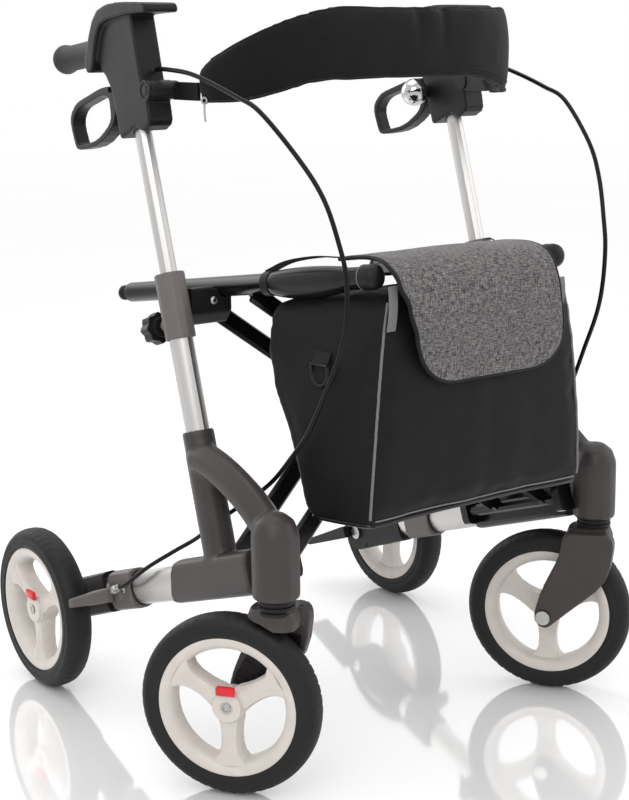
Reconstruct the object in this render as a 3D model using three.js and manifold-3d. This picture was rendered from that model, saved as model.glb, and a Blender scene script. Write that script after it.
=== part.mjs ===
// A folding four-wheeled rollator walker, in millimetres.
// +Z is up, the floor is Z = 0, the walker drives towards -Y, and its left side is +X.
// Two cast side frames stand on wheels and are held apart by a wheelchair-style cross brace.
// Every side piece is drawn for the left side and mirrored for the right one.

import * as THREE from 'three';
import { ConvexGeometry } from 'three/addons/geometries/ConvexGeometry.js';
import { mergeVertices } from 'three/addons/utils/BufferGeometryUtils.js';
import Module from 'manifold-3d';

const wasm = await Module();
wasm.setup();

// ---------- driving dimensions

const GAP = 0.3; // left between pieces that touch
const DEG = Math.PI / 180;

const WHEEL_RADIUS = 100; // 200 mm wheels
const TYRE_WIDTH = 34;
const RIM_RADIUS = 77;
const HUB_RADIUS = 17;

const FRAME_X = 230; // centre plane of a side frame
const MAST_X = 226.5; // centre plane of the height-adjustable mast
const CASTER_X = 233.9; // swivel axis of a front wheel
const CASTER_Y = -202.6;
const CASTER_TRAIL = 52.7;
const CASTER_ANGLE = { right: 36 * DEG, left: 34 * DEG }; // both front wheels are turned a little
const REAR_AXLE = { x: 280, y: 240, z: 100 };

const MAST_TILT = 16.25 * DEG; // the mast leans back towards the user
const MAST_FOOT_Y = -156.5; // where the mast axis would meet the floor
const LOWER_TILT = 18.35 * DEG; // the lower side tube climbs towards the front
const LOWER_RISE = 174; // distance of the lower tube's axis from the frame origin line

const RAIL_REAR = new THREE.Vector3(189, 146, 498); // seat rail, without its end caps
const RAIL_FRONT = new THREE.Vector3(129, -222, 546.5);
const RAIL_RADIUS = 11.5;

const BRACE_PIVOT_X = 200; // lower hinge of each brace
const BRACE_PIVOT_RISE = 177;
const BRACE_TOP_X = 158; // where a brace carries its seat rail
const BRACE_TOP_RISE = 470;

// ---------- materials

function finish(hex, roughness, metalness = 0) {
  return new THREE.MeshStandardMaterial({ color: hex, roughness, metalness });
}
const GREY_CASTING = finish('#4d4948', 0.45, 0.1);
const GREY_CLAMP = finish('#6c6765', 0.45, 0.1);
const SILVER_TUBE = finish('#d6d6d4', 0.3, 0.8);
const STEEL = finish('#b4b4b2', 0.3, 1);
const CHROME = finish('#dcdcdc', 0.08, 1);
const BLACK_PLASTIC = finish('#222121', 0.5);
const BLACK_PAINT = finish('#1b1a1a', 0.35, 0.2);
const GRIP_RUBBER = finish('#2c2a2b', 0.75);
const TYRE_RUBBER = finish('#1e1d1d', 0.85);
const RIM_PLASTIC = finish('#d9d3cd', 0.5);
const RED_PLASTIC = finish('#d8232a', 0.4);
const BLACK_NYLON = finish('#1d1d1e', 0.9);
const GREY_FELT = finish('#77767a', 0.95);

// ---------- directions and axes

const X_AXIS = new THREE.Vector3(1, 0, 0);
const Y_AXIS = new THREE.Vector3(0, 1, 0);
const Z_AXIS = new THREE.Vector3(0, 0, 1);
const MAST_BACK = new THREE.Vector3(0, Math.cos(MAST_TILT), -Math.sin(MAST_TILT));
const LOWER_FORWARD = new THREE.Vector3(0, -Math.cos(LOWER_TILT), Math.sin(LOWER_TILT));
const LOWER_UP = new THREE.Vector3(0, Math.sin(LOWER_TILT), Math.cos(LOWER_TILT));

function mastAt(z, x = MAST_X) {
  return new THREE.Vector3(x, MAST_FOOT_Y + z * Math.tan(MAST_TILT), z);
}

// A point of the lower tube: how far forward along it, and how far above the origin line.
function lowerAt(forward, rise = LOWER_RISE, x = FRAME_X) {
  return new THREE.Vector3(x, 0, 0).addScaledVector(LOWER_FORWARD, forward).addScaledVector(LOWER_UP, rise);
}

function railAt(y) {
  return RAIL_REAR.clone().lerp(RAIL_FRONT, (y - RAIL_REAR.y) / (RAIL_FRONT.y - RAIL_REAR.y));
}

// ---------- geometry helpers

// A manifold solid of a closed geometry: vertices merged, no collapsed triangles, faces pointing out.
function solid(geometry) {
  const bare = new THREE.BufferGeometry();
  bare.setAttribute('position', geometry.getAttribute('position').clone());
  if (geometry.index) bare.setIndex(geometry.index.clone());
  const merged = mergeVertices(bare, 1e-4);
  const p = merged.getAttribute('position');
  const ids = merged.index.array;
  const kept = [];
  let volume = 0;
  const [a, b, c] = [new THREE.Vector3(), new THREE.Vector3(), new THREE.Vector3()];
  for (let i = 0; i < ids.length; i += 3) {
    a.fromBufferAttribute(p, ids[i]);
    b.fromBufferAttribute(p, ids[i + 1]);
    c.fromBufferAttribute(p, ids[i + 2]);
    if (a.distanceTo(b) < 1e-3 || b.distanceTo(c) < 1e-3 || c.distanceTo(a) < 1e-3) continue;
    kept.push(ids[i], ids[i + 1], ids[i + 2]);
    volume += a.dot(b.cross(c));
  }
  if (volume < 0) {
    for (let i = 0; i < kept.length; i += 3) [kept[i], kept[i + 1]] = [kept[i + 1], kept[i]];
  }
  const mesh = new wasm.Mesh({
    numProp: 3,
    vertProperties: new Float32Array(p.array),
    triVerts: new Uint32Array(kept),
    tolerance: 1e-3,
  });
  mesh.merge();
  return new wasm.Manifold(mesh);
}

function geometryOf(manifold) {
  const mesh = manifold.getMesh();
  const g = new THREE.BufferGeometry();
  g.setAttribute('position', new THREE.BufferAttribute(new Float32Array(mesh.vertProperties), 3));
  g.setIndex(Array.from(mesh.triVerts));
  return g;
}

function closed(geometry) {
  return geometryOf(solid(geometry));
}

function joined(...geometries) {
  return geometryOf(geometries.map(solid).reduce((sum, s) => sum.add(s)));
}

function cut(body, ...tools) {
  return geometryOf(tools.map(solid).reduce((rest, s) => rest.subtract(s), solid(body)));
}

function mirrored(geometry) {
  return closed(geometry.clone().applyMatrix4(new THREE.Matrix4().makeScale(-1, 1, 1)));
}

// A shape from [x, y, corner radius] points, wound one way for a shape and the other for a hole.
function outline(points, Kind = THREE.Shape) {
  const corners = points.map(([x, y, radius = 0]) => ({ at: new THREE.Vector2(x, y), radius }));
  const area = THREE.ShapeUtils.area(corners.map((corner) => corner.at));
  if (area < 0 !== (Kind === THREE.Path)) corners.reverse();
  const shape = new Kind();
  const count = corners.length;
  corners.forEach(({ at, radius }, i) => {
    const before = corners[(i + count - 1) % count].at.clone().sub(at);
    const after = corners[(i + 1) % count].at.clone().sub(at);
    const start = at.clone().addScaledVector(before.clone().normalize(), Math.min(radius, before.length() * 0.49));
    const end = at.clone().addScaledVector(after.clone().normalize(), Math.min(radius, after.length() * 0.49));
    if (i === 0) shape.moveTo(start.x, start.y);
    else shape.lineTo(start.x, start.y);
    if (radius > 0) shape.quadraticCurveTo(at.x, at.y, end.x, end.y);
  });
  shape.closePath();
  return shape;
}

function oval(radiusX, radiusY = radiusX) {
  return new THREE.Shape().absellipse(0, 0, radiusX, radiusY, 0, Math.PI * 2, false, 0);
}

function box2(width, height, corner) {
  const [w, h] = [width / 2, height / 2];
  return outline([[-w, -h, corner], [w, -h, corner], [w, h, corner], [-w, h, corner]]);
}

// An outline in (Y, Z) given thickness from x0 to x1, with an optional window.
function slab(points, x0, x1, { window, curveSegments = 3 } = {}) {
  const shape = outline(points);
  if (window) shape.holes.push(outline(window, THREE.Path));
  const g = new THREE.ExtrudeGeometry(shape, { depth: x1 - x0, bevelEnabled: false, curveSegments });
  return g.applyMatrix4(new THREE.Matrix4().makeBasis(Y_AXIS, Z_AXIS, X_AXIS).setPosition(x0, 0, 0));
}

// A straight bar of one section; the section's x lies along `across`.
function bar(section, from, to, curveSegments = 6, across = X_AXIS) {
  const along = to.clone().sub(from);
  const g = new THREE.ExtrudeGeometry(section, { depth: along.length(), bevelEnabled: false, curveSegments });
  const z = along.normalize();
  const x = across.clone().addScaledVector(z, -across.dot(z)).normalize();
  return g.applyMatrix4(new THREE.Matrix4().makeBasis(x, z.clone().cross(x), z).setPosition(from));
}

function rod(radius, from, to, curveSegments = 6) {
  return bar(oval(radius), from, to, curveSegments, Math.abs(to.x - from.x) > Math.abs(to.z - from.z) ? Z_AXIS : X_AXIS);
}

// Tools that cut a hole with room for a piece of the given radius, whatever its number of sides.
const ROOM = 1 / Math.cos(Math.PI / 12);

function bore(radius, from, to) {
  return rod((radius + GAP) * ROOM, from, to, 6);
}

function ovalBore({ across, deep }, from, to) {
  return bar(oval((across + GAP) * ROOM, (deep + GAP) * ROOM), from, to, 6);
}

// A turned piece: [radius, distance along the axis] points from one end to the other.
function turned(profile, base, axis, segments = 24) {
  const g = new THREE.LatheGeometry(profile.map(([r, h]) => new THREE.Vector2(r, h)), segments);
  const turn = new THREE.Quaternion().setFromUnitVectors(Y_AXIS, axis.clone().normalize());
  return g.applyQuaternion(turn).translate(base.x, base.y, base.z);
}

// A section carried along a smooth curve through the points.
function swept(section, points, steps, curveSegments = 2) {
  const extrudePath = new THREE.CatmullRomCurve3(points.map((p) => new THREE.Vector3(...p)), false, 'centripetal');
  return new THREE.ExtrudeGeometry(section, { steps, extrudePath, bevelEnabled: false, curveSegments });
}

// A closed block whose surface points (u, v, w in 0..1) are placed by a rule.
function formed(nu, nv, nw, place) {
  const g = new THREE.BoxGeometry(1, 1, 1, nu, nv, nw);
  const p = g.getAttribute('position');
  for (let i = 0; i < p.count; i++) {
    const at = place(p.getX(i) + 0.5, p.getY(i) + 0.5, p.getZ(i) + 0.5);
    p.setXYZ(i, at.x, at.y, at.z);
  }
  return closed(g);
}

// ---------- side frame

// The one-piece casting: mast socket, diagonal arm, lower shell and caster head.
const CASTING_HALF_WIDTH = 18;
const CASTING_HALF_HEIGHT = 24.5;
const CASTING_RISE = LOWER_RISE + 1.5;
const HEAD_RADIUS = 25.5;
const HEAD_BOTTOM = 221.5;
const UPRIGHT = { across: 13, deep: 14, bottomZ: 262, topZ: 520 };
const LOWER_TUBE = { across: 12, deep: 20, rear: -142, front: 130 };
const STEM_RADIUS = 11;

// Where the shell's slanted rear end meets the lower tube, at its top and at its bottom.
const SHELL_REAR_TOP = 63;
const SHELL_REAR_BOTTOM = 79;

// Centre line of the diagonal arm, from the mast socket to the caster head.
const ARM_LINE = [[-58, 342], [-80, 340], [-122, 328], [-160, 310], [-190, 287], [-202, 262]];
const ARM_SECTION = { across: 36, deep: 39, corner: 13 };

function sideCasting() {
  const arm = swept(box2(ARM_SECTION.across, ARM_SECTION.deep, ARM_SECTION.corner),
    ARM_LINE.map(([y, z]) => [FRAME_X, y, z]), 9, 1);
  const sleeve = bar(oval(18, 20.5), mastAt(228), mastAt(345), 6);
  const shell = bar(box2(2 * CASTING_HALF_WIDTH - 1, 2 * CASTING_HALF_HEIGHT, 12),
    lowerAt(SHELL_REAR_TOP, CASTING_RISE), lowerAt(235, CASTING_RISE), 2);
  const head = turned(
    [[0, HEAD_BOTTOM], [HEAD_RADIUS - 2, HEAD_BOTTOM], [HEAD_RADIUS, HEAD_BOTTOM + 2], [HEAD_RADIUS, 290],
      [HEAD_RADIUS - 5, 304], [HEAD_RADIUS - 15, 312], [0, 314]],
    new THREE.Vector3(CASTER_X, CASTER_Y, 0), Z_AXIS, 16);
  const socket = bar(oval(18, 18), mastAt(255), mastAt(371), 5);
  const uprightBore = ovalBore(UPRIGHT, mastAt(UPRIGHT.bottomZ - 2), mastAt(400));
  const tubeBore = ovalBore(LOWER_TUBE, lowerAt(40), lowerAt(LOWER_TUBE.front + 2));
  const stemBore = bore(STEM_RADIUS + 0.4,
    new THREE.Vector3(CASTER_X, CASTER_Y, HEAD_BOTTOM - 10), new THREE.Vector3(CASTER_X, CASTER_Y, 286));
  const bracketSeat = bar(box2(60, 46, 0), lowerAt(BRACKET.rear - 4, BRACE_PIVOT_RISE, BRACKET.back - 29.7),
    lowerAt(BRACKET.front + 4, BRACE_PIVOT_RISE, BRACKET.back - 29.7), 1);
  const tall = 2 * CASTING_HALF_HEIGHT;
  const rearEnd = new THREE.BoxGeometry(60, 60, 2 * tall).translate(0, 30, 0);
  rearEnd.rotateX(Math.atan2(SHELL_REAR_BOTTOM - SHELL_REAR_TOP, tall) - LOWER_TILT);
  const middle = lowerAt((SHELL_REAR_TOP + SHELL_REAR_BOTTOM) / 2, CASTING_RISE);
  rearEnd.translate(middle.x, middle.y, middle.z);
  return cut(joined(arm, sleeve, shell, head, socket), uprightBore, tubeBore, stemBore, bracketSeat, rearEnd);
}

function lowerTube() {
  const outer = bar(oval(LOWER_TUBE.across, LOWER_TUBE.deep), lowerAt(LOWER_TUBE.rear), lowerAt(LOWER_TUBE.front), 6);
  const inside = bar(oval(LOWER_TUBE.across - 2, LOWER_TUBE.deep - 2), lowerAt(LOWER_TUBE.rear - 1), lowerAt(-60), 6);
  return cut(outer, inside);
}

function uprightTube() {
  const outer = bar(oval(UPRIGHT.across, UPRIGHT.deep), mastAt(UPRIGHT.bottomZ), mastAt(UPRIGHT.topZ), 6);
  const flatDepth = 1; // a shallow flat for a clip-on accessory, between the casting and the clamp
  const flat = new THREE.BoxGeometry(10, 60, 78).translate(MAST_X + UPRIGHT.across - flatDepth + 5, -34, 420);
  const inside = ovalBore(MAST, mastAt(UPRIGHT.bottomZ - 4), mastAt(UPRIGHT.topZ + 4));
  return cut(outer, inside, flat);
}

// The black rear end holds the axle; a foot pedal for tipping the walker stands behind it.
const HOUSING = { across: 13, deep: 25, front: -100 };

function rearHousing() {
  const front = lowerAt(HOUSING.front, LOWER_RISE);
  const end = new THREE.Vector3(FRAME_X, REAR_AXLE.y, REAR_AXLE.z);
  const body = bar(box2(2 * HOUSING.across, 2 * HOUSING.deep, 9), front, end, 2);
  const boss = rod(HOUSING.deep, end.clone().setX(FRAME_X - HOUSING.across), end.clone().setX(FRAME_X + HOUSING.across + 8), 8);
  const pedal = slab([[250, 92, 4], [340, 60, 5], [346, 67, 4], [256, 108, 4]], FRAME_X - 27, FRAME_X + 4);
  const tubeBore = ovalBore(LOWER_TUBE, lowerAt(LOWER_TUBE.rear - 1), lowerAt(-60));
  const axleBore = bore(AXLE_RADIUS, end.clone().setX(FRAME_X - 30), end.clone().setX(FRAME_X + 40));
  return cut(joined(body, boss, pedal), tubeBore, axleBore);
}

const AXLE_RADIUS = 6;

function rearAxle() {
  const tip = new THREE.Vector3(FRAME_X - HOUSING.across - 4, REAR_AXLE.y, REAR_AXLE.z);
  return turned([[0, 0], [9, 0], [9, 3.7], [AXLE_RADIUS, 3.7], [AXLE_RADIUS, 76], [0, 76]], tip, X_AXIS, 12);
}

// The grey collar carries the cable stop and the hinge of the brake arm.
const COLLAR = { front: -30, rear: -82, across: 15.5, deep: 24 };

function brakeCollar() {
  const ring = bar(box2(2 * COLLAR.across, 2 * COLLAR.deep, 11), lowerAt(COLLAR.rear), lowerAt(COLLAR.front), 2);
  const boss = rod(9, lowerAt(-62, LOWER_RISE - 2), lowerAt(-62, LOWER_RISE - 2, FRAME_X + 24), 4);
  const tubeBore = ovalBore(LOWER_TUBE, lowerAt(COLLAR.rear - 2), lowerAt(COLLAR.front + 2));
  const armSlot = new THREE.BoxGeometry(20, 60, 20 + 2 * GAP).translate(FRAME_X + COLLAR.across + 12, 0, 0);
  armSlot.applyMatrix4(new THREE.Matrix4().makeRotationX(-LOWER_TILT));
  const seat = lowerAt(-75, LOWER_RISE - 2, 0);
  armSlot.translate(0, seat.y, seat.z);
  return cut(joined(ring, boss), tubeBore, armSlot);
}

// The wedge-shaped brake arm swings its outer end back against the tyre.
function brakeArm() {
  const root = lowerAt(-78, LOWER_RISE - 2, 0);
  const corner = (x, y, half) => [1, -1].map((k) => new THREE.Vector3(x, y, root.z - (y - root.y) * Math.tan(LOWER_TILT) + k * half));
  return new ConvexGeometry([
    ...corner(FRAME_X + COLLAR.across + 3, root.y - 12, 9),
    ...corner(FRAME_X + COLLAR.across + 3, root.y + 12, 9),
    ...corner(FRAME_X + 26, root.y - 12, 9),
    ...corner(FRAME_X + 66, 131, 5),
    ...corner(FRAME_X + 69, 137, 5),
    ...corner(FRAME_X + 66, 140, 6),
    ...corner(FRAME_X + 34, 138, 9),
  ]);
}

const BRACKET = { rear: 72, front: 256, lug: 12, inner: BRACE_PIVOT_X - 10, back: BRACE_PIVOT_X + 11.7, tall: 34 };

function pivotBracket() {
  const at = (t, x) => lowerAt(t, BRACE_PIVOT_RISE, x);
  const middle = (BRACKET.back + BRACKET.inner) / 2;
  const lug = (t) => bar(box2(BRACKET.back - BRACKET.inner, BRACKET.tall, 8), at(t, middle), at(t + BRACKET.lug, middle), 2);
  const plate = bar(box2(3, BRACKET.tall, 0), at(BRACKET.rear, BRACKET.back - 1.5), at(BRACKET.front, BRACKET.back - 1.5), 1);
  const pinHole = bore(SPINDLE_RADIUS, at(BRACKET.rear - 9, BRACE_PIVOT_X), at(BRACKET.front + 9, BRACE_PIVOT_X));
  return cut(joined(plate, lug(BRACKET.rear), lug(BRACKET.front - BRACKET.lug)), pinHole);
}

// ---------- height adjustment, handle and brake lever

const MAST = { across: 9, deep: 11 };
const MAST_TOP_Z = 790;
const CLAMP = { bottomZ: 468, topZ: 538, radius: 16.5 };

function clampHousing() {
  const sleeve = bar(oval(CLAMP.radius, CLAMP.radius + 2), mastAt(CLAMP.bottomZ), mastAt(CLAMP.topZ), 6);
  const boss = rod(8, mastAt(486), mastAt(486).addScaledVector(MAST_BACK, 26), 4);
  const outerBore = ovalBore(UPRIGHT, mastAt(CLAMP.bottomZ - 5), mastAt(UPRIGHT.topZ + 1));
  const innerBore = ovalBore(MAST, mastAt(CLAMP.bottomZ), mastAt(CLAMP.topZ + 5));
  const screwBore = bore(KNOB_SHAFT, mastAt(486).addScaledVector(MAST_BACK, 16.6), mastAt(486).addScaledVector(MAST_BACK, 40));
  return cut(joined(sleeve, boss), outerBore, innerBore, screwBore);
}

const KNOB_SHAFT = 4.5;
const KNOB_RADIUS = 18;

function clampKnob() {
  const lobes = 8;
  const star = new THREE.Shape();
  for (let i = 0; i < lobes * 4; i++) {
    const angle = (i / (lobes * 4)) * Math.PI * 2;
    const r = KNOB_RADIUS - 1.4 + 1.4 * Math.cos(angle * lobes);
    if (i === 0) star.moveTo(r * Math.cos(angle), r * Math.sin(angle));
    else star.lineTo(r * Math.cos(angle), r * Math.sin(angle));
  }
  star.closePath();
  const at = (distance) => mastAt(486).addScaledVector(MAST_BACK, distance);
  return joined(bar(star, at(38), at(54), 1), rod(12, at(32), at(40), 4), rod(KNOB_SHAFT, at(17.2), at(40), 4));
}

// The rest reaches inwards from the clamp, and the seat rail lies in its notch when the walker is open.
function railRest() {
  const rail = railAt(-5);
  const arm = slab([[-18, 492, 4], [-6, 478, 4], [8, 478, 4], [8, 518, 4], [-18, 522, 4]], 158, MAST_X - CLAMP.radius - 0.6);
  const notch = rod(RAIL_RADIUS + 1.2, railAt(60), railAt(-60), 6);
  const swing = new THREE.BoxGeometry(60, 90, 40).translate(rail.x - 14, 0, rail.z + 20);
  return cut(arm, notch, swing);
}

function mastTube() {
  return bar(oval(MAST.across, MAST.deep), mastAt(282), mastAt(MAST_TOP_Z), 5);
}

const GRIP_START = new THREE.Vector3(MAST_X, 122, 778);
const GRIP_AXIS = new THREE.Vector3(0, 88, -9).normalize();
const GRIP_LENGTH = 96;
const LEVER_PIVOT = new THREE.Vector3(MAST_X, 96, 735);
const BACKREST_PIVOT = new THREE.Vector3(MAST_X, 8, 735);

function handleBody() {
  const body = slab([
    [69, 681, 3], [82, 726, 6], [90, 744, 8], [112, 762, 6], [112, 790, 8], [92, 815, 6], [37, 815, 3],
    [20, 745, 3], [8, 722, 3], [4, 700, 4], [22, 690, 4], [33, 697, 2],
  ], MAST_X - 15, MAST_X + 15, { curveSegments: 1 });
  const hood = slab([
    [-4, 816, 4], [-2, 826, 5], [60, 829, 20], [104, 824, 22], [121, 797, 20], [134, 765, 6], [128, 752, 5],
    [116, 756, 6], [108, 786, 16], [96, 808, 14], [40, 815, 10],
  ], MAST_X - 21, MAST_X + 21, { curveSegments: 2 });
  const peg = rod(9, GRIP_START.clone().addScaledVector(GRIP_AXIS, -10), GRIP_START.clone().addScaledVector(GRIP_AXIS, GRIP_LENGTH - 8), 5);
  const pivotBoss = rod(11, BACKREST_PIVOT.clone().setX(MAST_X - 15), BACKREST_PIVOT.clone().setX(MAST_X + 14), 6);
  const mastBore = ovalBore(MAST, mastAt(660), mastAt(MAST_TOP_Z + 1));
  const leverSlot = slab([[84, 700, 0], [84, 746, 6], [104, 752, 6], [130, 752, 0], [130, 700, 0]], MAST_X - 9, MAST_X + 9);
  const leverPin = rod(3.4, LEVER_PIVOT.clone().setX(MAST_X - 30), LEVER_PIVOT.clone().setX(MAST_X + 30), 3);
  return cut(joined(body, hood, peg, pivotBoss), mastBore, leverSlot, leverPin);
}

function grip() {
  const profile = [[9 + GAP, 1], [15, 1], [14.6, 10], [14.6, 78], [16.5, GRIP_LENGTH - 8], [17, GRIP_LENGTH - 3], [14.5, GRIP_LENGTH], [0, GRIP_LENGTH],
    [0, GRIP_LENGTH - 7.5], [9 + GAP, GRIP_LENGTH - 7.5], [9 + GAP, 1]];
  return turned(profile, GRIP_START.clone().addScaledVector(GRIP_AXIS, 13), GRIP_AXIS, 14);
}

// The lever is a closed finger loop made of a wide ribbon.
function brakeLever() {
  const ribbon = [[92, 739, 6], [118, 738, 14], [183, 719, 12], [199, 701, 14], [184, 665, 8], [130, 671, 30], [92, 697, 14], [86, 722, 8]];
  const window = [[103, 727, 6], [120, 729, 10], [178, 713, 10], [192, 698, 12], [180, 671, 5], [133, 677, 30], [99, 701, 10]];
  const loop = slab(ribbon, MAST_X - 8.5, MAST_X + 8.5, { window });
  const pin = rod(3, LEVER_PIVOT.clone().setX(MAST_X - 14), LEVER_PIVOT.clone().setX(MAST_X + 14), 3);
  return joined(loop, pin);
}

// ---------- backrest

function backrestArm() {
  const x = MAST_X - 15 - GAP;
  const hub = rod(10, BACKREST_PIVOT.clone().setX(x - 7), BACKREST_PIVOT.clone().setX(x), 6);
  const strip = formed(6, 1, 1, (u, v, w) => {
    const along = new THREE.Vector3().lerpVectors(new THREE.Vector3(x - 3, 6, 734), new THREE.Vector3(x - 6, -38.5, 733), u);
    return along.add(new THREE.Vector3((w - 0.5) * 4, 0, (v - 0.5) * 19));
  });
  return joined(hub, strip);
}

// Plan of the padded band, from the left end round the front to the right end.
const BAND_PLAN = [[201, -40], [196, -66], [172, -97], [120, -117], [60, -124], [0, -126]];

function backrestBand() {
  const half = BAND_PLAN.map(([x, y]) => new THREE.Vector3(x, y, 0));
  const other = half.slice(0, -1).reverse().map((p) => new THREE.Vector3(-p.x, p.y, 0));
  const plan = new THREE.CatmullRomCurve3([...half, ...other], false, 'centripetal');
  return formed(22, 3, 2, (u, v, w) => {
    const at = plan.getPointAt(u);
    const tangent = plan.getTangentAt(u);
    const out = new THREE.Vector3(tangent.y, -tangent.x, 0).normalize();
    const end = Math.min(u, 1 - u);
    const rise = Math.min(1, end / 0.16);
    const bottom = 722 + 20 * Math.sin(Math.min(1, end / 0.3) * Math.PI / 2);
    const top = 756 + 66 * Math.sin(rise * Math.PI / 2);
    const swell = 4 + 5 * Math.sin(v * Math.PI);
    return at.addScaledVector(out, (w - 0.5) * 2 * swell).setZ(bottom + (top - bottom) * v);
  });
}

function bell() {
  const centre = new THREE.Vector3(192, 80, 722);
  const foot = new THREE.Vector3(MAST_X - 15.3, 80, 722);
  return joined(new THREE.SphereGeometry(17, 12, 8).translate(centre.x, centre.y, centre.z), rod(6, centre, foot, 5));
}

// ---------- seat, brace and bag

function seatRail() {
  const tube = rod(RAIL_RADIUS, RAIL_REAR, RAIL_FRONT, 6);
  const back = RAIL_REAR.clone().sub(RAIL_FRONT).normalize();
  const plug = turned([[0, -4], [10, -4], [10, 3], [6.5, 6], [6.5, 10], [8.8, 13], [8.8, 17], [5, 21], [0, 21]], RAIL_REAR, back, 10);
  const cap = turned([[0, -4], [RAIL_RADIUS + 2, -4], [RAIL_RADIUS + 2, 12], [RAIL_RADIUS - 1, 19], [6, 22], [0, 22]], RAIL_FRONT, back.clone().negate(), 10);
  const middle = railAt(-130).add(new THREE.Vector3(2.5, 0, -1));
  const moulding = new THREE.SphereGeometry(1, 10, 8).scale(12.5, 66, 16.5);
  moulding.applyQuaternion(new THREE.Quaternion().setFromUnitVectors(Y_AXIS, back)).translate(middle.x, middle.y, middle.z);
  return joined(tube, plug, cap, moulding);
}

const SPINDLE_RADIUS = 4;
const BRACE_TUBE = 7.5;
const BRACE_ANGLE = Math.atan2(BRACE_TOP_RISE - BRACE_PIVOT_RISE, BRACE_PIVOT_X + BRACE_TOP_X);
const CENTRE_RISE = BRACE_PIVOT_RISE + BRACE_PIVOT_X * Math.tan(BRACE_ANGLE);

// A brace hinges at the lower left (x > 0) and carries the right rail; its bars stand at the
// given places along the side tube.
function brace(barPlaces) {
  const foot = (t) => lowerAt(t, BRACE_PIVOT_RISE, BRACE_PIVOT_X);
  const top = (t) => lowerAt(t, BRACE_TOP_RISE, -BRACE_TOP_X);
  const spindle = rod(SPINDLE_RADIUS, foot(BRACKET.rear + 1), foot(BRACKET.front - 1), 4);
  const tube = rod(BRACE_TUBE, foot(BRACKET.rear + BRACKET.lug + 2), foot(BRACKET.front - BRACKET.lug - 2), 5);
  const bars = barPlaces.flatMap((t) => {
    const shoulder = foot(t).lerp(top(t), 0.025); // a narrow root keeps the folded bar clear of its bracket
    return [bar(box2(8, 14, 0), foot(t), foot(t).lerp(top(t), 0.05), 1, LOWER_FORWARD), bar(box2(8, 22, 3), shoulder, top(t), 1, LOWER_FORWARD)];
  });
  const rail = [railAt(140), railAt(-215)].map((p) => p.setX(-p.x));
  const saddles = barPlaces.map((t) => {
    const end = top(t);
    const near = railAt(end.y + 8);
    near.x *= -1;
    return bar(box2(8, 17, 0), end.clone().lerp(foot(t), 0.03), near, 1, LOWER_FORWARD);
  });
  const boltHole = bore(BOLT_RADIUS, lowerAt(0, CENTRE_RISE, 0), lowerAt(300, CENTRE_RISE, 0));
  return cut(joined(tube, spindle, ...bars, ...saddles), boltHole, bore(RAIL_RADIUS, ...rail));
}

const BOLT_RADIUS = 5;
const NARROW_BARS = [136, 222]; // the brace that carries the right rail
const WIDE_BARS = [122, 236]; // the brace that carries the left rail

function braceBolt() {
  const start = lowerAt(WIDE_BARS[0] - 8, CENTRE_RISE, 0);
  const length = WIDE_BARS[1] - WIDE_BARS[0] + 16;
  return turned([[0, 0], [9, 0], [9, 3.5], [BOLT_RADIUS, 3.5], [BOLT_RADIUS, length - 3.5], [9, length - 3.5], [9, length], [0, length]],
    start, LOWER_FORWARD, 12);
}

function seatFabric() {
  return formed(6, 1, 5, (u, v, w) => {
    const y = 62 - 265 * w;
    const rail = railAt(y);
    const x = (rail.x - RAIL_RADIUS - 4) * (2 * u - 1);
    const sag = 12 * (1 - (2 * u - 1) ** 2);
    return new THREE.Vector3(x, y, rail.z + 6 - sag + 3 * v);
  });
}

function bagBody() {
  const at = (x, y, z) => new THREE.Vector3(x, y, z);
  const points = [];
  for (const k of [-1, 1]) {
    points.push(at(k * 146, -244, 292), at(k * 150, -252, 300), at(k * 141, -256, 420), at(k * 124, -250, 508),
      at(k * 168, -206, 288), at(k * 173, -180, 300), at(k * 170, -138, 420), at(k * 150, -110, 498),
      at(k * 146, -110, 510), at(k * 124, -242, 519));
  }
  return new ConvexGeometry(points);
}

function bagFlap() {
  const path = new THREE.CatmullRomCurve3([[-150, 557], [-205, 565], [-248, 561], [-270, 535], [-274, 490], [-270, 438]]
    .map(([y, z]) => new THREE.Vector3(0, y, z)), false, 'centripetal');
  return formed(4, 1, 12, (u, v, w) => {
    const at = path.getPointAt(w);
    const tangent = path.getTangentAt(w);
    const out = new THREE.Vector3(0, tangent.z, -tangent.y);
    return at.setX((2 * u - 1) * (106 + 6 * w)).addScaledVector(out, (v - 0.5) * 6);
  });
}

// ---------- brake cable

const CABLE_RADIUS = 2.5;
const CABLE_ROUTE = [
  [222, 20.5, 756], [222, 6, 757], [221, -41, 753], [219, -79, 744], [216, -126, 729], [213, -163, 714],
  [202, -213, 668], [192, -239, 630], [185, -254, 585], [182, -260, 554], [181, -258, 513], [182, -249, 479],
  [185, -229, 438], [190, -204, 391], [195, -180, 360], [202, -150, 327], [206, -98, 292], [204, -44, 260],
  [207, -8, 234], [222, 18, 215], [243, 46, 192], [254, 74, 168], [257, 93, 158],
];
const ADJUSTER_FOOT = new THREE.Vector3(257, 110, 149);

function brakeCable() {
  const cable = swept(oval(CABLE_RADIUS), CABLE_ROUTE, 44, 4);
  const end = new THREE.Vector3(...CABLE_ROUTE[CABLE_ROUTE.length - 1]);
  const along = ADJUSTER_FOOT.clone().sub(end);
  const length = along.length();
  const barrel = turned([[0, -7], [3.4, -7], [3.4, 0], [4.8, 1], [4.8, 9], [3.2, 10], [3.2, length - 6], [0, length - 6]], end, along, 10);
  return joined(cable, barrel);
}

// ---------- wheels and casters, drawn about their own axle along X

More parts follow.
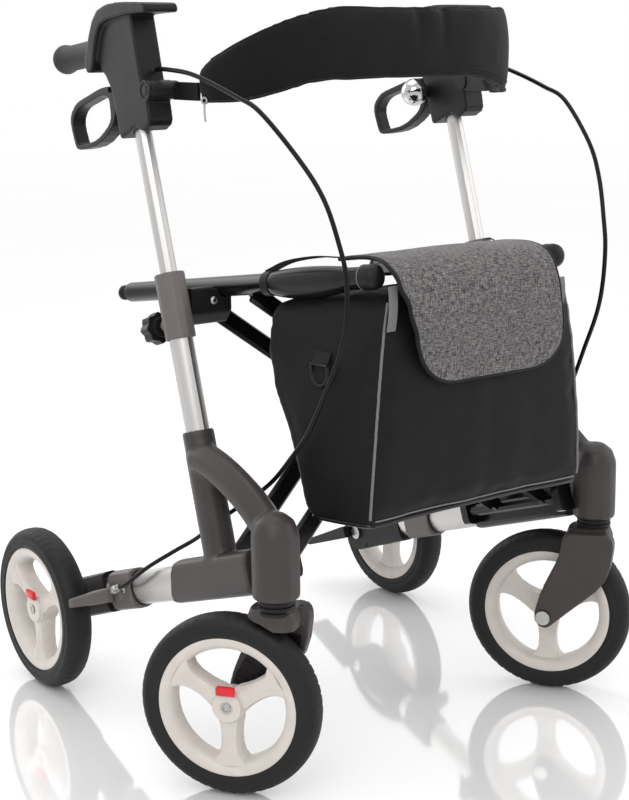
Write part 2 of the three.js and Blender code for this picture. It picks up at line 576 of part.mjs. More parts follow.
function rim() {
  const half = TYRE_WIDTH / 2;
  const ring = turned([[RIM_RADIUS - 9, -half + 3], [RIM_RADIUS, -half + 1], [RIM_RADIUS, half - 1], [RIM_RADIUS - 9, half - 3], [RIM_RADIUS - 9, -half + 3]],
    new THREE.Vector3(), X_AXIS, 28);
  const hub = turned([[0, -half + 2], [HUB_RADIUS, -half + 2], [HUB_RADIUS, half - 2], [0, half - 2]], new THREE.Vector3(), X_AXIS, 12);
  const spokes = [0, 1, 2].map((i) => {
    const blade = slab([[-10, -RIM_RADIUS + 5], [10, -RIM_RADIUS + 5], [7, -30], [12, -8], [-12, -8], [-7, -30]], -9, 9);
    return blade.rotateX((i * 120) * DEG);
  });
  const buttonHouse = slab([[-9.5, 8, 0], [9.5, 8, 0], [9.5, 25, 3], [-9.5, 25, 3]], -half + 2, half - 2);
  const axleHole = bore(AXLE_RADIUS, new THREE.Vector3(-half, 0, 0), new THREE.Vector3(half - 6, 0, 0));
  return cut(joined(ring, hub, buttonHouse, ...spokes), axleHole, buttonPocket());
}

// The quick-release button stands above the hub and goes in by its travel when it is pressed.
const BUTTON = { z: 19, wide: 12, tall: 5.5, root: TYRE_WIDTH / 2 - 4.4, face: TYRE_WIDTH / 2 + 3, travel: 3 };

function buttonPocket() {
  const deep = BUTTON.face - BUTTON.root + 2 * BUTTON.travel;
  const pocket = new THREE.BoxGeometry(deep, BUTTON.wide + 2 * GAP, BUTTON.tall + 2 * GAP);
  return pocket.translate(BUTTON.root - BUTTON.travel - GAP + deep / 2, 0, BUTTON.z);
}

function tyre() {
  const half = TYRE_WIDTH / 2;
  const inner = RIM_RADIUS + GAP;
  return turned([[inner, -half + 2], [88, -half], [95.5, -half + 4], [WHEEL_RADIUS, -5], [WHEEL_RADIUS, 5], [95.5, half - 4],
    [88, half], [inner, half - 2], [inner, -half + 2]], new THREE.Vector3(), X_AXIS, 28);
}

function releaseButton() {
  const button = new THREE.BoxGeometry(BUTTON.face - BUTTON.root, BUTTON.wide, BUTTON.tall);
  return button.translate((BUTTON.face + BUTTON.root) / 2, 0, BUTTON.z);
}

// Caster fork in its own frame: swivel axis at the origin, wheel towards +Y, arm on the -X side.
const FORK_X = -TYRE_WIDTH / 2 - 11;

function fork() {
  const stem = rod(STEM_RADIUS, new THREE.Vector3(0, 0, 206), new THREE.Vector3(0, 0, 283), 5);
  const neck = rod(18, new THREE.Vector3(0, 0, 206), new THREE.Vector3(0, 0, HEAD_BOTTOM - 0.8), 6);
  const crown = formed(6, 6, 2, (u, v, w) => {
    const [x, y] = [2 * u - 1, 2 * v - 1];
    const round = Math.sqrt(1 - Math.min(1, (x * y) ** 2) * 0.35);
    const z = 188.5 + 22 * w;
    const belly = 1 - 0.14 * (1 - w) ** 2 - 0.22 * w ** 2;
    return new THREE.Vector3(-4 + 25 * x * round * belly, 4 + 31 * y * round * belly, z + (w < 0.5 ? Math.max(0, -x) * -2 : 0));
  });
  const arm = slab([
    [-26, 209, 8], [-30, 196, 6], [-24, 150, 20], [CASTER_TRAIL - 16, 96, 14], [CASTER_TRAIL - 2, 83, 8], [CASTER_TRAIL + 13, 94, 10],
    [CASTER_TRAIL + 6, 128, 20], [34, 180, 10], [31, 207, 8],
  ], FORK_X - 9, FORK_X + 9, { curveSegments: 2 });
  const clearance = turned([[0, -TYRE_WIDTH / 2 - 2], [WHEEL_RADIUS + 4, -TYRE_WIDTH / 2 - 2], [WHEEL_RADIUS + 4, 40], [0, 40]],
    new THREE.Vector3(0, CASTER_TRAIL, WHEEL_RADIUS), X_AXIS, 32);
  const axle = new THREE.Vector3(FORK_X, CASTER_TRAIL, WHEEL_RADIUS);
  const axleBore = bore(AXLE_RADIUS, axle.clone().setX(FORK_X - 20), axle.clone().setX(FORK_X + 20));
  return cut(joined(stem, neck, cut(joined(crown, arm), clearance)), axleBore);
}

function frontAxle() {
  const tip = new THREE.Vector3(FORK_X - 9 - 4, CASTER_TRAIL, WHEEL_RADIUS);
  const length = TYRE_WIDTH / 2 - 8 - tip.x;
  return turned([[0, 0], [9, 0], [9, 3.7], [AXLE_RADIUS, 3.7], [AXLE_RADIUS, length], [0, length]], tip, X_AXIS, 14);
}

// ---------- assembly

const walker = new THREE.Group();

function add(parent, name, geometry, material) {
  const mesh = new THREE.Mesh(closed(geometry), material);
  mesh.name = name;
  parent.add(mesh);
  return mesh;
}

for (const [side, sign] of [['right', -1], ['left', 1]]) {
  const sided = (geometry) => (sign < 0 ? mirrored(geometry) : geometry);
  const piece = (name, geometry, material) => add(walker, `${side}_${name}`, sided(geometry), material);

  piece('casting', sideCasting(), GREY_CASTING);
  piece('lower_tube', lowerTube(), SILVER_TUBE);
  piece('upright_tube', uprightTube(), SILVER_TUBE);
  piece('rear_housing', rearHousing(), BLACK_PLASTIC);
  piece('rear_axle', rearAxle(), STEEL);
  piece('brake_collar', brakeCollar(), GREY_CLAMP);
  piece('brake_arm', brakeArm(), GREY_CLAMP);
  piece('pivot_bracket', pivotBracket(), BLACK_PAINT);
  piece('clamp_housing', clampHousing(), GREY_CLAMP);
  piece('clamp_knob', clampKnob(), BLACK_PLASTIC);
  piece('rail_rest', railRest(), BLACK_PLASTIC);
  piece('mast_tube', mastTube(), SILVER_TUBE);
  piece('handle', handleBody(), BLACK_PLASTIC);
  piece('grip', grip(), GRIP_RUBBER);
  piece('brake_lever', brakeLever(), BLACK_PLASTIC);
  piece('brake_cable', brakeCable(), BLACK_PLASTIC);
  piece('backrest_arm', backrestArm(), BLACK_PLASTIC);
  piece('seat_rail', seatRail(), BLACK_PAINT);

  const rearWheel = new THREE.Group();
  rearWheel.position.set(sign * REAR_AXLE.x, REAR_AXLE.y, REAR_AXLE.z);
  walker.add(rearWheel);
  add(rearWheel, `${side}_rear_rim`, sided(rim()), RIM_PLASTIC);
  add(rearWheel, `${side}_rear_tyre`, sided(tyre()), TYRE_RUBBER);
  add(rearWheel, `${side}_rear_button`, sided(releaseButton()), RED_PLASTIC);

  const caster = new THREE.Group();
  caster.position.set(sign * CASTER_X, CASTER_Y, 0);
  caster.rotation.z = CASTER_ANGLE[side];
  walker.add(caster);
  add(caster, `${side}_fork`, sided(fork()), GREY_CASTING);
  add(caster, `${side}_front_axle`, sided(frontAxle()), STEEL);

  const frontWheel = new THREE.Group();
  frontWheel.position.set(0, CASTER_TRAIL, WHEEL_RADIUS);
  caster.add(frontWheel);
  add(frontWheel, `${side}_front_rim`, sided(rim()), RIM_PLASTIC);
  add(frontWheel, `${side}_front_tyre`, sided(tyre()), TYRE_RUBBER);
  add(frontWheel, `${side}_front_button`, sided(releaseButton()), RED_PLASTIC);
}

add(walker, 'brace_to_right_rail', brace(NARROW_BARS), BLACK_PAINT);
add(walker, 'brace_to_left_rail', mirrored(brace(WIDE_BARS)), BLACK_PAINT);
add(walker, 'brace_bolt', braceBolt(), STEEL);
add(walker, 'seat', seatFabric(), BLACK_NYLON);
add(walker, 'bag', bagBody(), BLACK_NYLON);
add(walker, 'bag_flap', bagFlap(), GREY_FELT);
add(walker, 'backrest_band', backrestBand(), BLACK_NYLON);
add(walker, 'bell', bell(), CHROME);

export default walker;
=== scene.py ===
# %% [markdown]
# # A folding rollator walker
# Two cast side frames roll on four 200 mm wheels and are held apart by a cross brace. A hand
# clamp sets the height of each handle, a cable runs from each lever to its brake, and a padded
# band, a seat and a bag hang between the sides. The mechanical parts are loaded as a fixed
# frame. This file dresses them: it smooths the castings and mouldings, and it adds the wheels,
# the cables, the sewn pieces and the small fittings.

# %% load the frame
import math

import bmesh
import bpy
import numpy as np
from mathutils import Matrix, Vector, noise
from mathutils.bvhtree import BVHTree


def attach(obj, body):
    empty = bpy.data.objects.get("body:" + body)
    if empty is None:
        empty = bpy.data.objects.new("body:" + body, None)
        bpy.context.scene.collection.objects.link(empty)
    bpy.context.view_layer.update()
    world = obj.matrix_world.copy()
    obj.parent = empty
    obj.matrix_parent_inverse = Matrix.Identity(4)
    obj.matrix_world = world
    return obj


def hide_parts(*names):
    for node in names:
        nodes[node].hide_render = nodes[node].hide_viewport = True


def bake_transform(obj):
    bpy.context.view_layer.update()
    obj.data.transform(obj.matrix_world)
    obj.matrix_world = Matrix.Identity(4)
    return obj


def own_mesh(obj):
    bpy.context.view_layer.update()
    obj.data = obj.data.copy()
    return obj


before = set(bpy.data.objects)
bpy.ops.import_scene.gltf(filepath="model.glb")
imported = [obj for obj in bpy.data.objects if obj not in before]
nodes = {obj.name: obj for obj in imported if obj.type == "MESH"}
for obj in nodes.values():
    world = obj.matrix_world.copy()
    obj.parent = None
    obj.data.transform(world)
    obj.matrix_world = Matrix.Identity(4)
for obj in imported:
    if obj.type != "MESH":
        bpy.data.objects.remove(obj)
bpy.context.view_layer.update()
MM = 0.001

# %% [markdown]
# The camera comes first. It stands to the right of the walker's front at about chest height
# and looks a little down, so a long lens keeps the uprights nearly parallel.

# %% camera
CAMERA_AT = Vector((-1.12433, -1.48480, 0.76622))
HEADING, PITCH, ROLL = math.radians(36.347), math.radians(12.167), -0.0162
forward = Vector((math.sin(HEADING) * math.cos(PITCH), math.cos(HEADING) * math.cos(PITCH),
    -math.sin(PITCH)))
level = Vector((math.cos(HEADING), -math.sin(HEADING), 0))
upward = level.cross(forward)
right = level * math.cos(ROLL) + upward * math.sin(ROLL)
up = -level * math.sin(ROLL) + upward * math.cos(ROLL)

lens = bpy.data.cameras.new("camera")
lens.sensor_fit = "VERTICAL"
lens.sensor_height = 36
lens.lens = 71.41
lens.clip_start = 0.01
camera = bpy.data.objects.new("camera", lens)
camera.matrix_world = Matrix.Translation(CAMERA_AT) @ Matrix((right, up, -forward)).transposed().to_4x4()
bpy.context.scene.collection.objects.link(camera)
bpy.context.scene.camera = camera
print("camera at", [round(v, 2) for v in CAMERA_AT], "lens", lens.lens)

# %% [markdown]
# Materials start from three small functions. `linear` turns an sRGB hex colour into the linear
# one that the shader wants. `node` adds one node with its settings and links. `surface` starts
# a material and hands back its shader and the object coordinates, which are metres in the
# frame, so that a pattern's scale can be worked out from a real size.

# %% material helpers
def linear(hex_colour):
    parts = [int(hex_colour[i:i + 2], 16) / 255 for i in (1, 3, 5)]
    return (*[c / 12.92 if c <= 0.04045 else ((c + 0.055) / 1.055) ** 2.4 for c in parts], 1)


def node(material, kind, inputs=None, **settings):
    made = material.node_tree.nodes.new(kind)
    for name, value in settings.items():
        setattr(made, name, value)
    for name, value in (inputs or {}).items():
        if isinstance(value, bpy.types.NodeSocket):
            material.node_tree.links.new(value, made.inputs[name])
        else:
            made.inputs[name].default_value = value
    return made


def surface(name, **sockets):
    material = bpy.data.materials.new(name)
    material.use_nodes = True
    shader = material.node_tree.nodes["Principled BSDF"]
    for socket, value in sockets.items():
        shader.inputs[socket.replace("_", " ")].default_value = value
    where = node(material, "ShaderNodeTexCoord").outputs["Object"]
    return material, shader, where


def link(material, output, socket):
    material.node_tree.links.new(output, socket)


def per(size_mm):
    """The scale of a pattern whose features are this many millimetres across."""
    return 1 / (size_mm * MM)


print("white is", [round(v, 2) for v in linear("#ffffff")])

# %% [markdown]
# The side frames and the caster forks are die-cast and powder coated in a warm dark grey. The
# powder leaves a faint orange peel about a millimetre across, and the coat is satin, so
# highlights are wide and soft. A slow change of tone keeps large faces from looking flat.

# %% powder coat
powder_coat, shader, where = surface("powder_coat_grey", Roughness=0.42, IOR=1.42)
tone = node(powder_coat, "ShaderNodeTexNoise", {"Vector": where, "Scale": per(40), "Detail": 3})
ramp = node(powder_coat, "ShaderNodeMix", {"Factor": tone.outputs["Fac"], "A": linear("#312d2c"),
    "B": linear("#3c3735")}, data_type="RGBA")
link(powder_coat, ramp.outputs["Result"], shader.inputs["Base Color"])
peel = node(powder_coat, "ShaderNodeTexNoise", {"Vector": where, "Scale": per(1.2), "Detail": 2})
bump = node(powder_coat, "ShaderNodeBump", {"Height": peel.outputs["Fac"], "Strength": 0.12,
    "Distance": 0.2 * MM})
link(powder_coat, bump.outputs["Normal"], shader.inputs["Normal"])
gloss = node(powder_coat, "ShaderNodeMapRange",
    {"Value": tone.outputs["Fac"], "To Min": 0.36, "To Max": 0.5})
link(powder_coat, gloss.outputs["Result"], shader.inputs["Roughness"])
print(powder_coat.name)

# %% [markdown]
# The clamps, brake collars and brake arms are injection-moulded glass-filled nylon in a lighter
# warm grey. The mould is fine-blasted, which shows as grain about half a millimetre across.
# It is drawn at 0.8 mm, because the real grain is too fine to show.

# %% moulded nylon, grey
grey_nylon, shader, where = surface("glass_filled_nylon_grey", Roughness=0.48, IOR=1.53)
tone = node(grey_nylon, "ShaderNodeTexNoise", {"Vector": where, "Scale": per(25), "Detail": 4})
ramp = node(grey_nylon, "ShaderNodeMix", {"Factor": tone.outputs["Fac"], "A": linear("#544e4d"),
    "B": linear("#635d5b")}, data_type="RGBA")
link(grey_nylon, ramp.outputs["Result"], shader.inputs["Base Color"])
grain = node(grey_nylon, "ShaderNodeTexNoise", {"Vector": where, "Scale": per(0.8), "Detail": 2})
bump = node(grey_nylon, "ShaderNodeBump", {"Height": grain.outputs["Fac"], "Strength": 0.15,
    "Distance": 0.15 * MM})
link(grey_nylon, bump.outputs["Normal"], shader.inputs["Normal"])
print(grey_nylon.name)

# %% [markdown]
# Handles, levers, knobs and end housings are moulded in black polypropylene that leans a little
# towards plum. The skin is lightly grained and picks up scuffs, so roughness varies.

# %% moulded polypropylene, black
black_moulding, shader, where = surface("polypropylene_black", Roughness=0.4, IOR=1.32)
tone = node(black_moulding, "ShaderNodeTexNoise", {"Vector": where, "Scale": per(18), "Detail": 5})
ramp = node(black_moulding, "ShaderNodeMix", {"Factor": tone.outputs["Fac"], "A": linear("#110f10"),
    "B": linear("#1b181a")}, data_type="RGBA")
link(black_moulding, ramp.outputs["Result"], shader.inputs["Base Color"])
gloss = node(black_moulding, "ShaderNodeMapRange",
    {"Value": tone.outputs["Fac"], "To Min": 0.32, "To Max": 0.52})
link(black_moulding, gloss.outputs["Result"], shader.inputs["Roughness"])
grain = node(black_moulding, "ShaderNodeTexNoise", {"Vector": where, "Scale": per(0.9), "Detail": 2})
bump = node(black_moulding, "ShaderNodeBump",
    {"Height": grain.outputs["Fac"], "Strength": 0.18, "Distance": 0.15 * MM})
link(black_moulding, bump.outputs["Normal"], shader.inputs["Normal"])
print(black_moulding.name)

# %% [markdown]
# The seat rails and the brace are steel tube in black enamel, smooth and glossier than the
# mouldings, with a clear coat that gives sharp reflections on the rounded rail covers.

# %% black enamel
black_enamel, shader, where = surface("enamel_black", Roughness=0.26, IOR=1.33, Coat_Weight=0.1,
    Coat_Roughness=0.12)
tone = node(black_enamel, "ShaderNodeTexNoise", {"Vector": where, "Scale": per(30), "Detail": 3})
ramp = node(black_enamel, "ShaderNodeMix", {"Factor": tone.outputs["Fac"], "A": linear("#090909"),
    "B": linear("#121111")}, data_type="RGBA")
link(black_enamel, ramp.outputs["Result"], shader.inputs["Base Color"])
peel = node(black_enamel, "ShaderNodeTexNoise", {"Vector": where, "Scale": per(2), "Detail": 1})
bump = node(black_enamel, "ShaderNodeBump", {"Height": peel.outputs["Fac"], "Strength": 0.06,
    "Distance": 0.2 * MM})
link(black_enamel, bump.outputs["Normal"], shader.inputs["Normal"])
print(black_enamel.name)

# %% [markdown]
# The brake cables have a smooth PVC jacket. It is blacker than the enamel, with a softer shine,
# and a slow cloudiness in its roughness where it has been handled.

# %% cable jacket
cable_jacket, shader, where = surface("pvc_jacket_black", Roughness=0.34, IOR=1.28)
cloud = node(cable_jacket, "ShaderNodeTexNoise", {"Vector": where, "Scale": per(40), "Detail": 3})
ramp = node(cable_jacket, "ShaderNodeMix", {"Factor": cloud.outputs["Fac"], "A": linear("#030303"),
    "B": linear("#0a0a0a")}, data_type="RGBA")
link(cable_jacket, ramp.outputs["Result"], shader.inputs["Base Color"])
handled = node(cable_jacket, "ShaderNodeMapRange",
    {"Value": cloud.outputs["Fac"], "To Min": 0.28, "To Max": 0.42})
link(cable_jacket, handled.outputs["Result"], shader.inputs["Roughness"])
print("cable jacket ready")

# %% [markdown]
# The tubes are extruded aluminium, satin anodised to a pale silver. Extrusion leaves fine lines
# along the tube. The noise is stretched: 0.6 mm across the tube and 60 mm along it. The
# tubes lean differently, so the stretch follows Z, which is near enough for both masts.

# %% anodised aluminium
anodised, shader, where = surface("anodised_aluminium", Metallic=1.0, Roughness=0.34)
stretch = node(anodised, "ShaderNodeMapping", {"Vector": where, "Scale": (per(0.6), per(0.6), per(60))})
lines = node(anodised, "ShaderNodeTexNoise", {"Vector": stretch.outputs["Vector"], "Scale": 1.0,
    "Detail": 2})
ramp = node(anodised, "ShaderNodeMix", {"Factor": lines.outputs["Fac"], "A": linear("#b4b2b0"),
    "B": linear("#cccac8")}, data_type="RGBA")
link(anodised, ramp.outputs["Result"], shader.inputs["Base Color"])
gloss = node(anodised, "ShaderNodeMapRange", {"Value": lines.outputs["Fac"], "To Min": 0.28,
    "To Max": 0.44})
link(anodised, gloss.outputs["Result"], shader.inputs["Roughness"])
bump = node(anodised, "ShaderNodeBump", {"Height": lines.outputs["Fac"], "Strength": 0.08,
    "Distance": 0.05 * MM})
link(anodised, bump.outputs["Normal"], shader.inputs["Normal"])
print(anodised.name)

# %% [markdown]
# Screws and axle ends are zinc-plated steel, and the bell is chrome-plated brass. Both are
# metals, so only their roughness and tint differ. Fine turning marks break up the zinc.

# %% zinc plate and chrome
zinc_plate, shader, where = surface("zinc_plated_steel", Metallic=1.0, Roughness=0.28)
marks = node(zinc_plate, "ShaderNodeTexNoise", {"Vector": where, "Scale": per(1.5), "Detail": 4})
ramp = node(zinc_plate, "ShaderNodeMix", {"Factor": marks.outputs["Fac"], "A": linear("#969693"),
    "B": linear("#bebebb")}, data_type="RGBA")
link(zinc_plate, ramp.outputs["Result"], shader.inputs["Base Color"])
gloss = node(zinc_plate, "ShaderNodeMapRange",
    {"Value": marks.outputs["Fac"], "To Min": 0.2, "To Max": 0.4})
link(zinc_plate, gloss.outputs["Result"], shader.inputs["Roughness"])

chrome, shader, where = surface("chrome_plate", Metallic=1.0, Roughness=0.06)
haze = node(chrome, "ShaderNodeTexNoise", {"Vector": where, "Scale": per(6), "Detail": 3})
ramp = node(chrome, "ShaderNodeMix", {"Factor": haze.outputs["Fac"], "A": linear("#a9aaac"),
    "B": linear("#c9c9c9")}, data_type="RGBA")
link(chrome, ramp.outputs["Result"], shader.inputs["Base Color"])
gloss = node(chrome, "ShaderNodeMapRange", {"Value": haze.outputs["Fac"], "To Min": 0.04, "To Max": 0.1})
link(chrome, gloss.outputs["Result"], shader.inputs["Roughness"])
print(zinc_plate.name, chrome.name)

# %% [markdown]
# The grips are thermoplastic rubber with a dull skin. The tyres are solid polyurethane: they
# are nearly black, a little browner where they roll, and dusty, which makes them rough.

# %% rubber and polyurethane
grip_rubber, shader, where = surface("thermoplastic_rubber", Roughness=0.62, IOR=1.45)
pores = node(grip_rubber, "ShaderNodeTexNoise", {"Vector": where, "Scale": per(0.8), "Detail": 3})
ramp = node(grip_rubber, "ShaderNodeMix", {"Factor": pores.outputs["Fac"], "A": linear("#171516"),
    "B": linear("#222021")}, data_type="RGBA")
link(grip_rubber, ramp.outputs["Result"], shader.inputs["Base Color"])
bump = node(grip_rubber, "ShaderNodeBump", {"Height": pores.outputs["Fac"], "Strength": 0.35,
    "Distance": 0.2 * MM})
link(grip_rubber, bump.outputs["Normal"], shader.inputs["Normal"])

tyre_polyurethane, shader, where = surface("polyurethane_tyre", Roughness=0.6, IOR=1.4)
dust = node(tyre_polyurethane, "ShaderNodeTexNoise",
    {"Vector": where, "Scale": per(9), "Detail": 6, "Roughness": 0.65})
ramp = node(tyre_polyurethane, "ShaderNodeMix",
    {"Factor": dust.outputs["Fac"], "A": linear("#090808"), "B": linear("#151312")}, data_type="RGBA")
link(tyre_polyurethane, ramp.outputs["Result"], shader.inputs["Base Color"])
gloss = node(tyre_polyurethane, "ShaderNodeMapRange",
    {"Value": dust.outputs["Fac"], "To Min": 0.42, "To Max": 0.75})
link(tyre_polyurethane, gloss.outputs["Result"], shader.inputs["Roughness"])
grit = node(tyre_polyurethane, "ShaderNodeTexNoise", {"Vector": where, "Scale": per(1.0), "Detail": 3})
bump = node(tyre_polyurethane, "ShaderNodeBump",
    {"Height": grit.outputs["Fac"], "Strength": 0.25, "Distance": 0.25 * MM})
link(tyre_polyurethane, bump.outputs["Normal"], shader.inputs["Normal"])
print(grip_rubber.name, tyre_polyurethane.name)

# %% [markdown]
# The rims are moulded in an off-white nylon. It lets a little light in below its skin, which
# warms the shaded sides of the spokes. The release buttons are glossy red acetal.

# %% rim nylon and red acetal
rim_nylon, shader, where = surface("rim_nylon_white", Roughness=0.38, IOR=1.53, Subsurface_Weight=0.08,
    Subsurface_Scale=0.004)
tone = node(rim_nylon, "ShaderNodeTexNoise", {"Vector": where, "Scale": per(14), "Detail": 5})
ramp = node(rim_nylon, "ShaderNodeMix", {"Factor": tone.outputs["Fac"], "A": linear("#c0b9b3"),
    "B": linear("#d3ccc6")}, data_type="RGBA")
link(rim_nylon, ramp.outputs["Result"], shader.inputs["Base Color"])
grain = node(rim_nylon, "ShaderNodeTexNoise", {"Vector": where, "Scale": per(1.0), "Detail": 2})
bump = node(rim_nylon, "ShaderNodeBump", {"Height": grain.outputs["Fac"], "Strength": 0.08,
    "Distance": 0.15 * MM})
link(rim_nylon, bump.outputs["Normal"], shader.inputs["Normal"])

red_acetal, shader, where = surface("acetal_red", Roughness=0.3, IOR=1.48)
tone = node(red_acetal, "ShaderNodeTexNoise", {"Vector": where, "Scale": per(4), "Detail": 3})
ramp = node(red_acetal, "ShaderNodeMix", {"Factor": tone.outputs["Fac"], "A": linear("#c2131a"),
    "B": linear("#d81f28")}, data_type="RGBA")
link(red_acetal, ramp.outputs["Result"], shader.inputs["Base Color"])
print(rim_nylon.name, red_acetal.name)

# %% [markdown]
# The bag and the seat are woven from thick black polyester. Two wave patterns at right angles
# stand for warp and weft. The real threads are 0.5 mm apart, too fine to show, so they are
# drawn 1.1 mm apart. The cloth has a coating, so it still shines a little along folds.

# %% woven polyester
woven_polyester, shader, where = surface("polyester_weave_black", Roughness=0.6, IOR=1.3,
    Sheen_Weight=0.06, Sheen_Roughness=0.4)
THREAD_MM = 1.1
weft = node(woven_polyester, "ShaderNodeTexWave",
    {"Vector": where, "Scale": per(THREAD_MM) / 2 / math.pi, "Distortion": 0.6, "Detail Scale": 2},
    bands_direction="Z")
warp = node(woven_polyester, "ShaderNodeTexWave",
    {"Vector": where, "Scale": per(THREAD_MM) / 2 / math.pi, "Distortion": 0.6, "Detail Scale": 2},
    bands_direction="DIAGONAL")
cross = node(woven_polyester, "ShaderNodeMath", {0: weft.outputs["Fac"], 1: warp.outputs["Fac"]},
    operation="MULTIPLY")
rumple = node(woven_polyester, "ShaderNodeTexNoise", {"Vector": where, "Scale": per(22), "Detail": 5})
ramp = node(woven_polyester, "ShaderNodeMix",
    {"Factor": cross.outputs["Value"], "A": linear("#060607"), "B": linear("#0f0f11")}, data_type="RGBA")
link(woven_polyester, ramp.outputs["Result"], shader.inputs["Base Color"])
soft = node(woven_polyester, "ShaderNodeBump",
    {"Height": rumple.outputs["Fac"], "Strength": 0.35, "Distance": 2 * MM})
bump = node(woven_polyester, "ShaderNodeBump",
    {"Height": cross.outputs["Value"], "Strength": 0.35, "Distance": 0.2 * MM,
    "Normal": soft.outputs["Normal"]})
link(woven_polyester, bump.outputs["Normal"], shader.inputs["Normal"])
print(woven_polyester.name, "threads", THREAD_MM, "mm apart")

# %% [markdown]
# The backrest band is wrapped in a soft black knit, much duller than the bag, with a nap that
# lights up at grazing angles. Sheen on the shader gives that. The piping and the webbing are
# tighter and slightly lighter.

# %% band knit and webbing
band_knit, shader, where = surface("band_knit_black", Roughness=0.85, IOR=1.28, Sheen_Weight=0.1,
    Sheen_Roughness=0.5)
loops = node(band_knit, "ShaderNodeTexVoronoi", {"Vector": where, "Scale": per(1.3)})
slub = node(band_knit, "ShaderNodeTexNoise", {"Vector": where, "Scale": per(16), "Detail": 5})
ramp = node(band_knit, "ShaderNodeMix", {"Factor": slub.outputs["Fac"], "A": linear("#060607"),
    "B": linear("#0e0e0f")}, data_type="RGBA")
link(band_knit, ramp.outputs["Result"], shader.inputs["Base Color"])
soft = node(band_knit, "ShaderNodeBump", {"Height": slub.outputs["Fac"], "Strength": 0.3,
    "Distance": 1.5 * MM})
bump = node(band_knit, "ShaderNodeBump", {"Height": loops.outputs["Distance"], "Strength": 0.3,
    "Distance": 0.25 * MM, "Normal": soft.outputs["Normal"]})
link(band_knit, bump.outputs["Normal"], shader.inputs["Normal"])

webbing, shader, where = surface("webbing_black", Roughness=0.7, IOR=1.35, Sheen_Weight=0.05)
ribs = node(webbing, "ShaderNodeTexWave", {"Vector": where, "Scale": per(1.6) / 2 / math.pi,
    "Distortion": 0.4}, bands_direction="Z")
ramp = node(webbing, "ShaderNodeMix", {"Factor": ribs.outputs["Fac"], "A": linear("#070707"),
    "B": linear("#131213")}, data_type="RGBA")
link(webbing, ramp.outputs["Result"], shader.inputs["Base Color"])
bump = node(webbing, "ShaderNodeBump", {"Height": ribs.outputs["Fac"], "Strength": 0.4,
    "Distance": 0.3 * MM})
link(webbing, bump.outputs["Normal"], shader.inputs["Normal"])
print(band_knit.name, webbing.name)

# %% [markdown]
# The flap is grey melange cloth: light and dark fibres are spun together, so the tone jumps
# from thread to thread. Stretched noise gives short slubs across and along, drawn 1 mm thick
# and 6 mm long. The reflective piping is a plain pale grey that is brighter than it is glossy.

# %% melange cloth and reflective piping
melange, shader, where = surface("melange_cloth_grey", Roughness=0.9, IOR=1.3, Sheen_Weight=0.1,
    Sheen_Roughness=0.5)
across = node(melange, "ShaderNodeMapping", {"Vector": where, "Scale": (per(6), per(1), per(1))})
along = node(melange, "ShaderNodeMapping", {"Vector": where, "Scale": (per(1), per(6), per(6))})
weft = node(melange, "ShaderNodeTexNoise", {"Vector": across.outputs["Vector"], "Scale": 1.0,
    "Detail": 3})
warp = node(melange, "ShaderNodeTexNoise", {"Vector": along.outputs["Vector"], "Scale": 1.0, "Detail": 3})
cross = node(melange, "ShaderNodeMath", {0: weft.outputs["Fac"], 1: warp.outputs["Fac"]}, operation="ADD")
spread = node(melange, "ShaderNodeMapRange", {"Value": cross.outputs["Value"], "From Min": 0.78,
    "From Max": 1.22})
ramp = node(melange, "ShaderNodeMix", {"Factor": spread.outputs["Result"], "A": linear("#2b2a2b"),
    "B": linear("#7c7978")}, data_type="RGBA")
link(melange, ramp.outputs["Result"], shader.inputs["Base Color"])
bump = node(melange, "ShaderNodeBump", {"Height": spread.outputs["Result"], "Strength": 0.4,
    "Distance": 0.3 * MM})
link(melange, bump.outputs["Normal"], shader.inputs["Normal"])

reflective_piping, shader, where = surface("reflective_piping_grey", Roughness=0.45, IOR=1.5)
beads = node(reflective_piping, "ShaderNodeTexVoronoi", {"Vector": where, "Scale": per(1.2)})
ramp = node(reflective_piping, "ShaderNodeMix",
    {"Factor": beads.outputs["Distance"], "A": linear("#565658"), "B": linear("#747476")},
    data_type="RGBA")
link(reflective_piping, ramp.outputs["Result"], shader.inputs["Base Color"])
print(melange.name, reflective_piping.name)

# %% [markdown]
# The walker stands on a pale glossy floor in a bright, even studio. The floor is smooth enough
# to mirror the wheels softly, and the sky of the world is white, so the floor fades into it.
# Four large area lights give the long soft highlights on tubes and mouldings.

# %% floor and lights
floor_lacquer, shader, where = surface("floor_white_lacquer", Roughness=0.07, IOR=1.5, Metallic=0.3)
cloud = node(floor_lacquer, "ShaderNodeTexNoise", {"Vector": where, "Scale": 1.5, "Detail": 2})
ramp = node(floor_lacquer, "ShaderNodeMix", {"Factor": cloud.outputs["Fac"], "A": linear("#f7f7f7"),
    "B": linear("#fdfdfd")}, data_type="RGBA")
link(floor_lacquer, ramp.outputs["Result"], shader.inputs["Base Color"])

FLOOR_SIZE, FLOOR_GAP = 30, 0.6 * MM
bpy.ops.mesh.primitive_plane_add(size=FLOOR_SIZE, location=(0, 0, -FLOOR_GAP))
floor = bpy.context.object
floor.name = "floor"
floor.data.materials.append(floor_lacquer)

sky = bpy.data.worlds.new("studio_sky")
sky.use_nodes = True
sky.node_tree.nodes["Background"].inputs["Color"].default_value = (1, 1, 1, 1)
sky.node_tree.nodes["Background"].inputs["Strength"].default_value = 1.0
bpy.context.scene.world = sky
bpy.context.scene.view_settings.view_transform = "Standard"

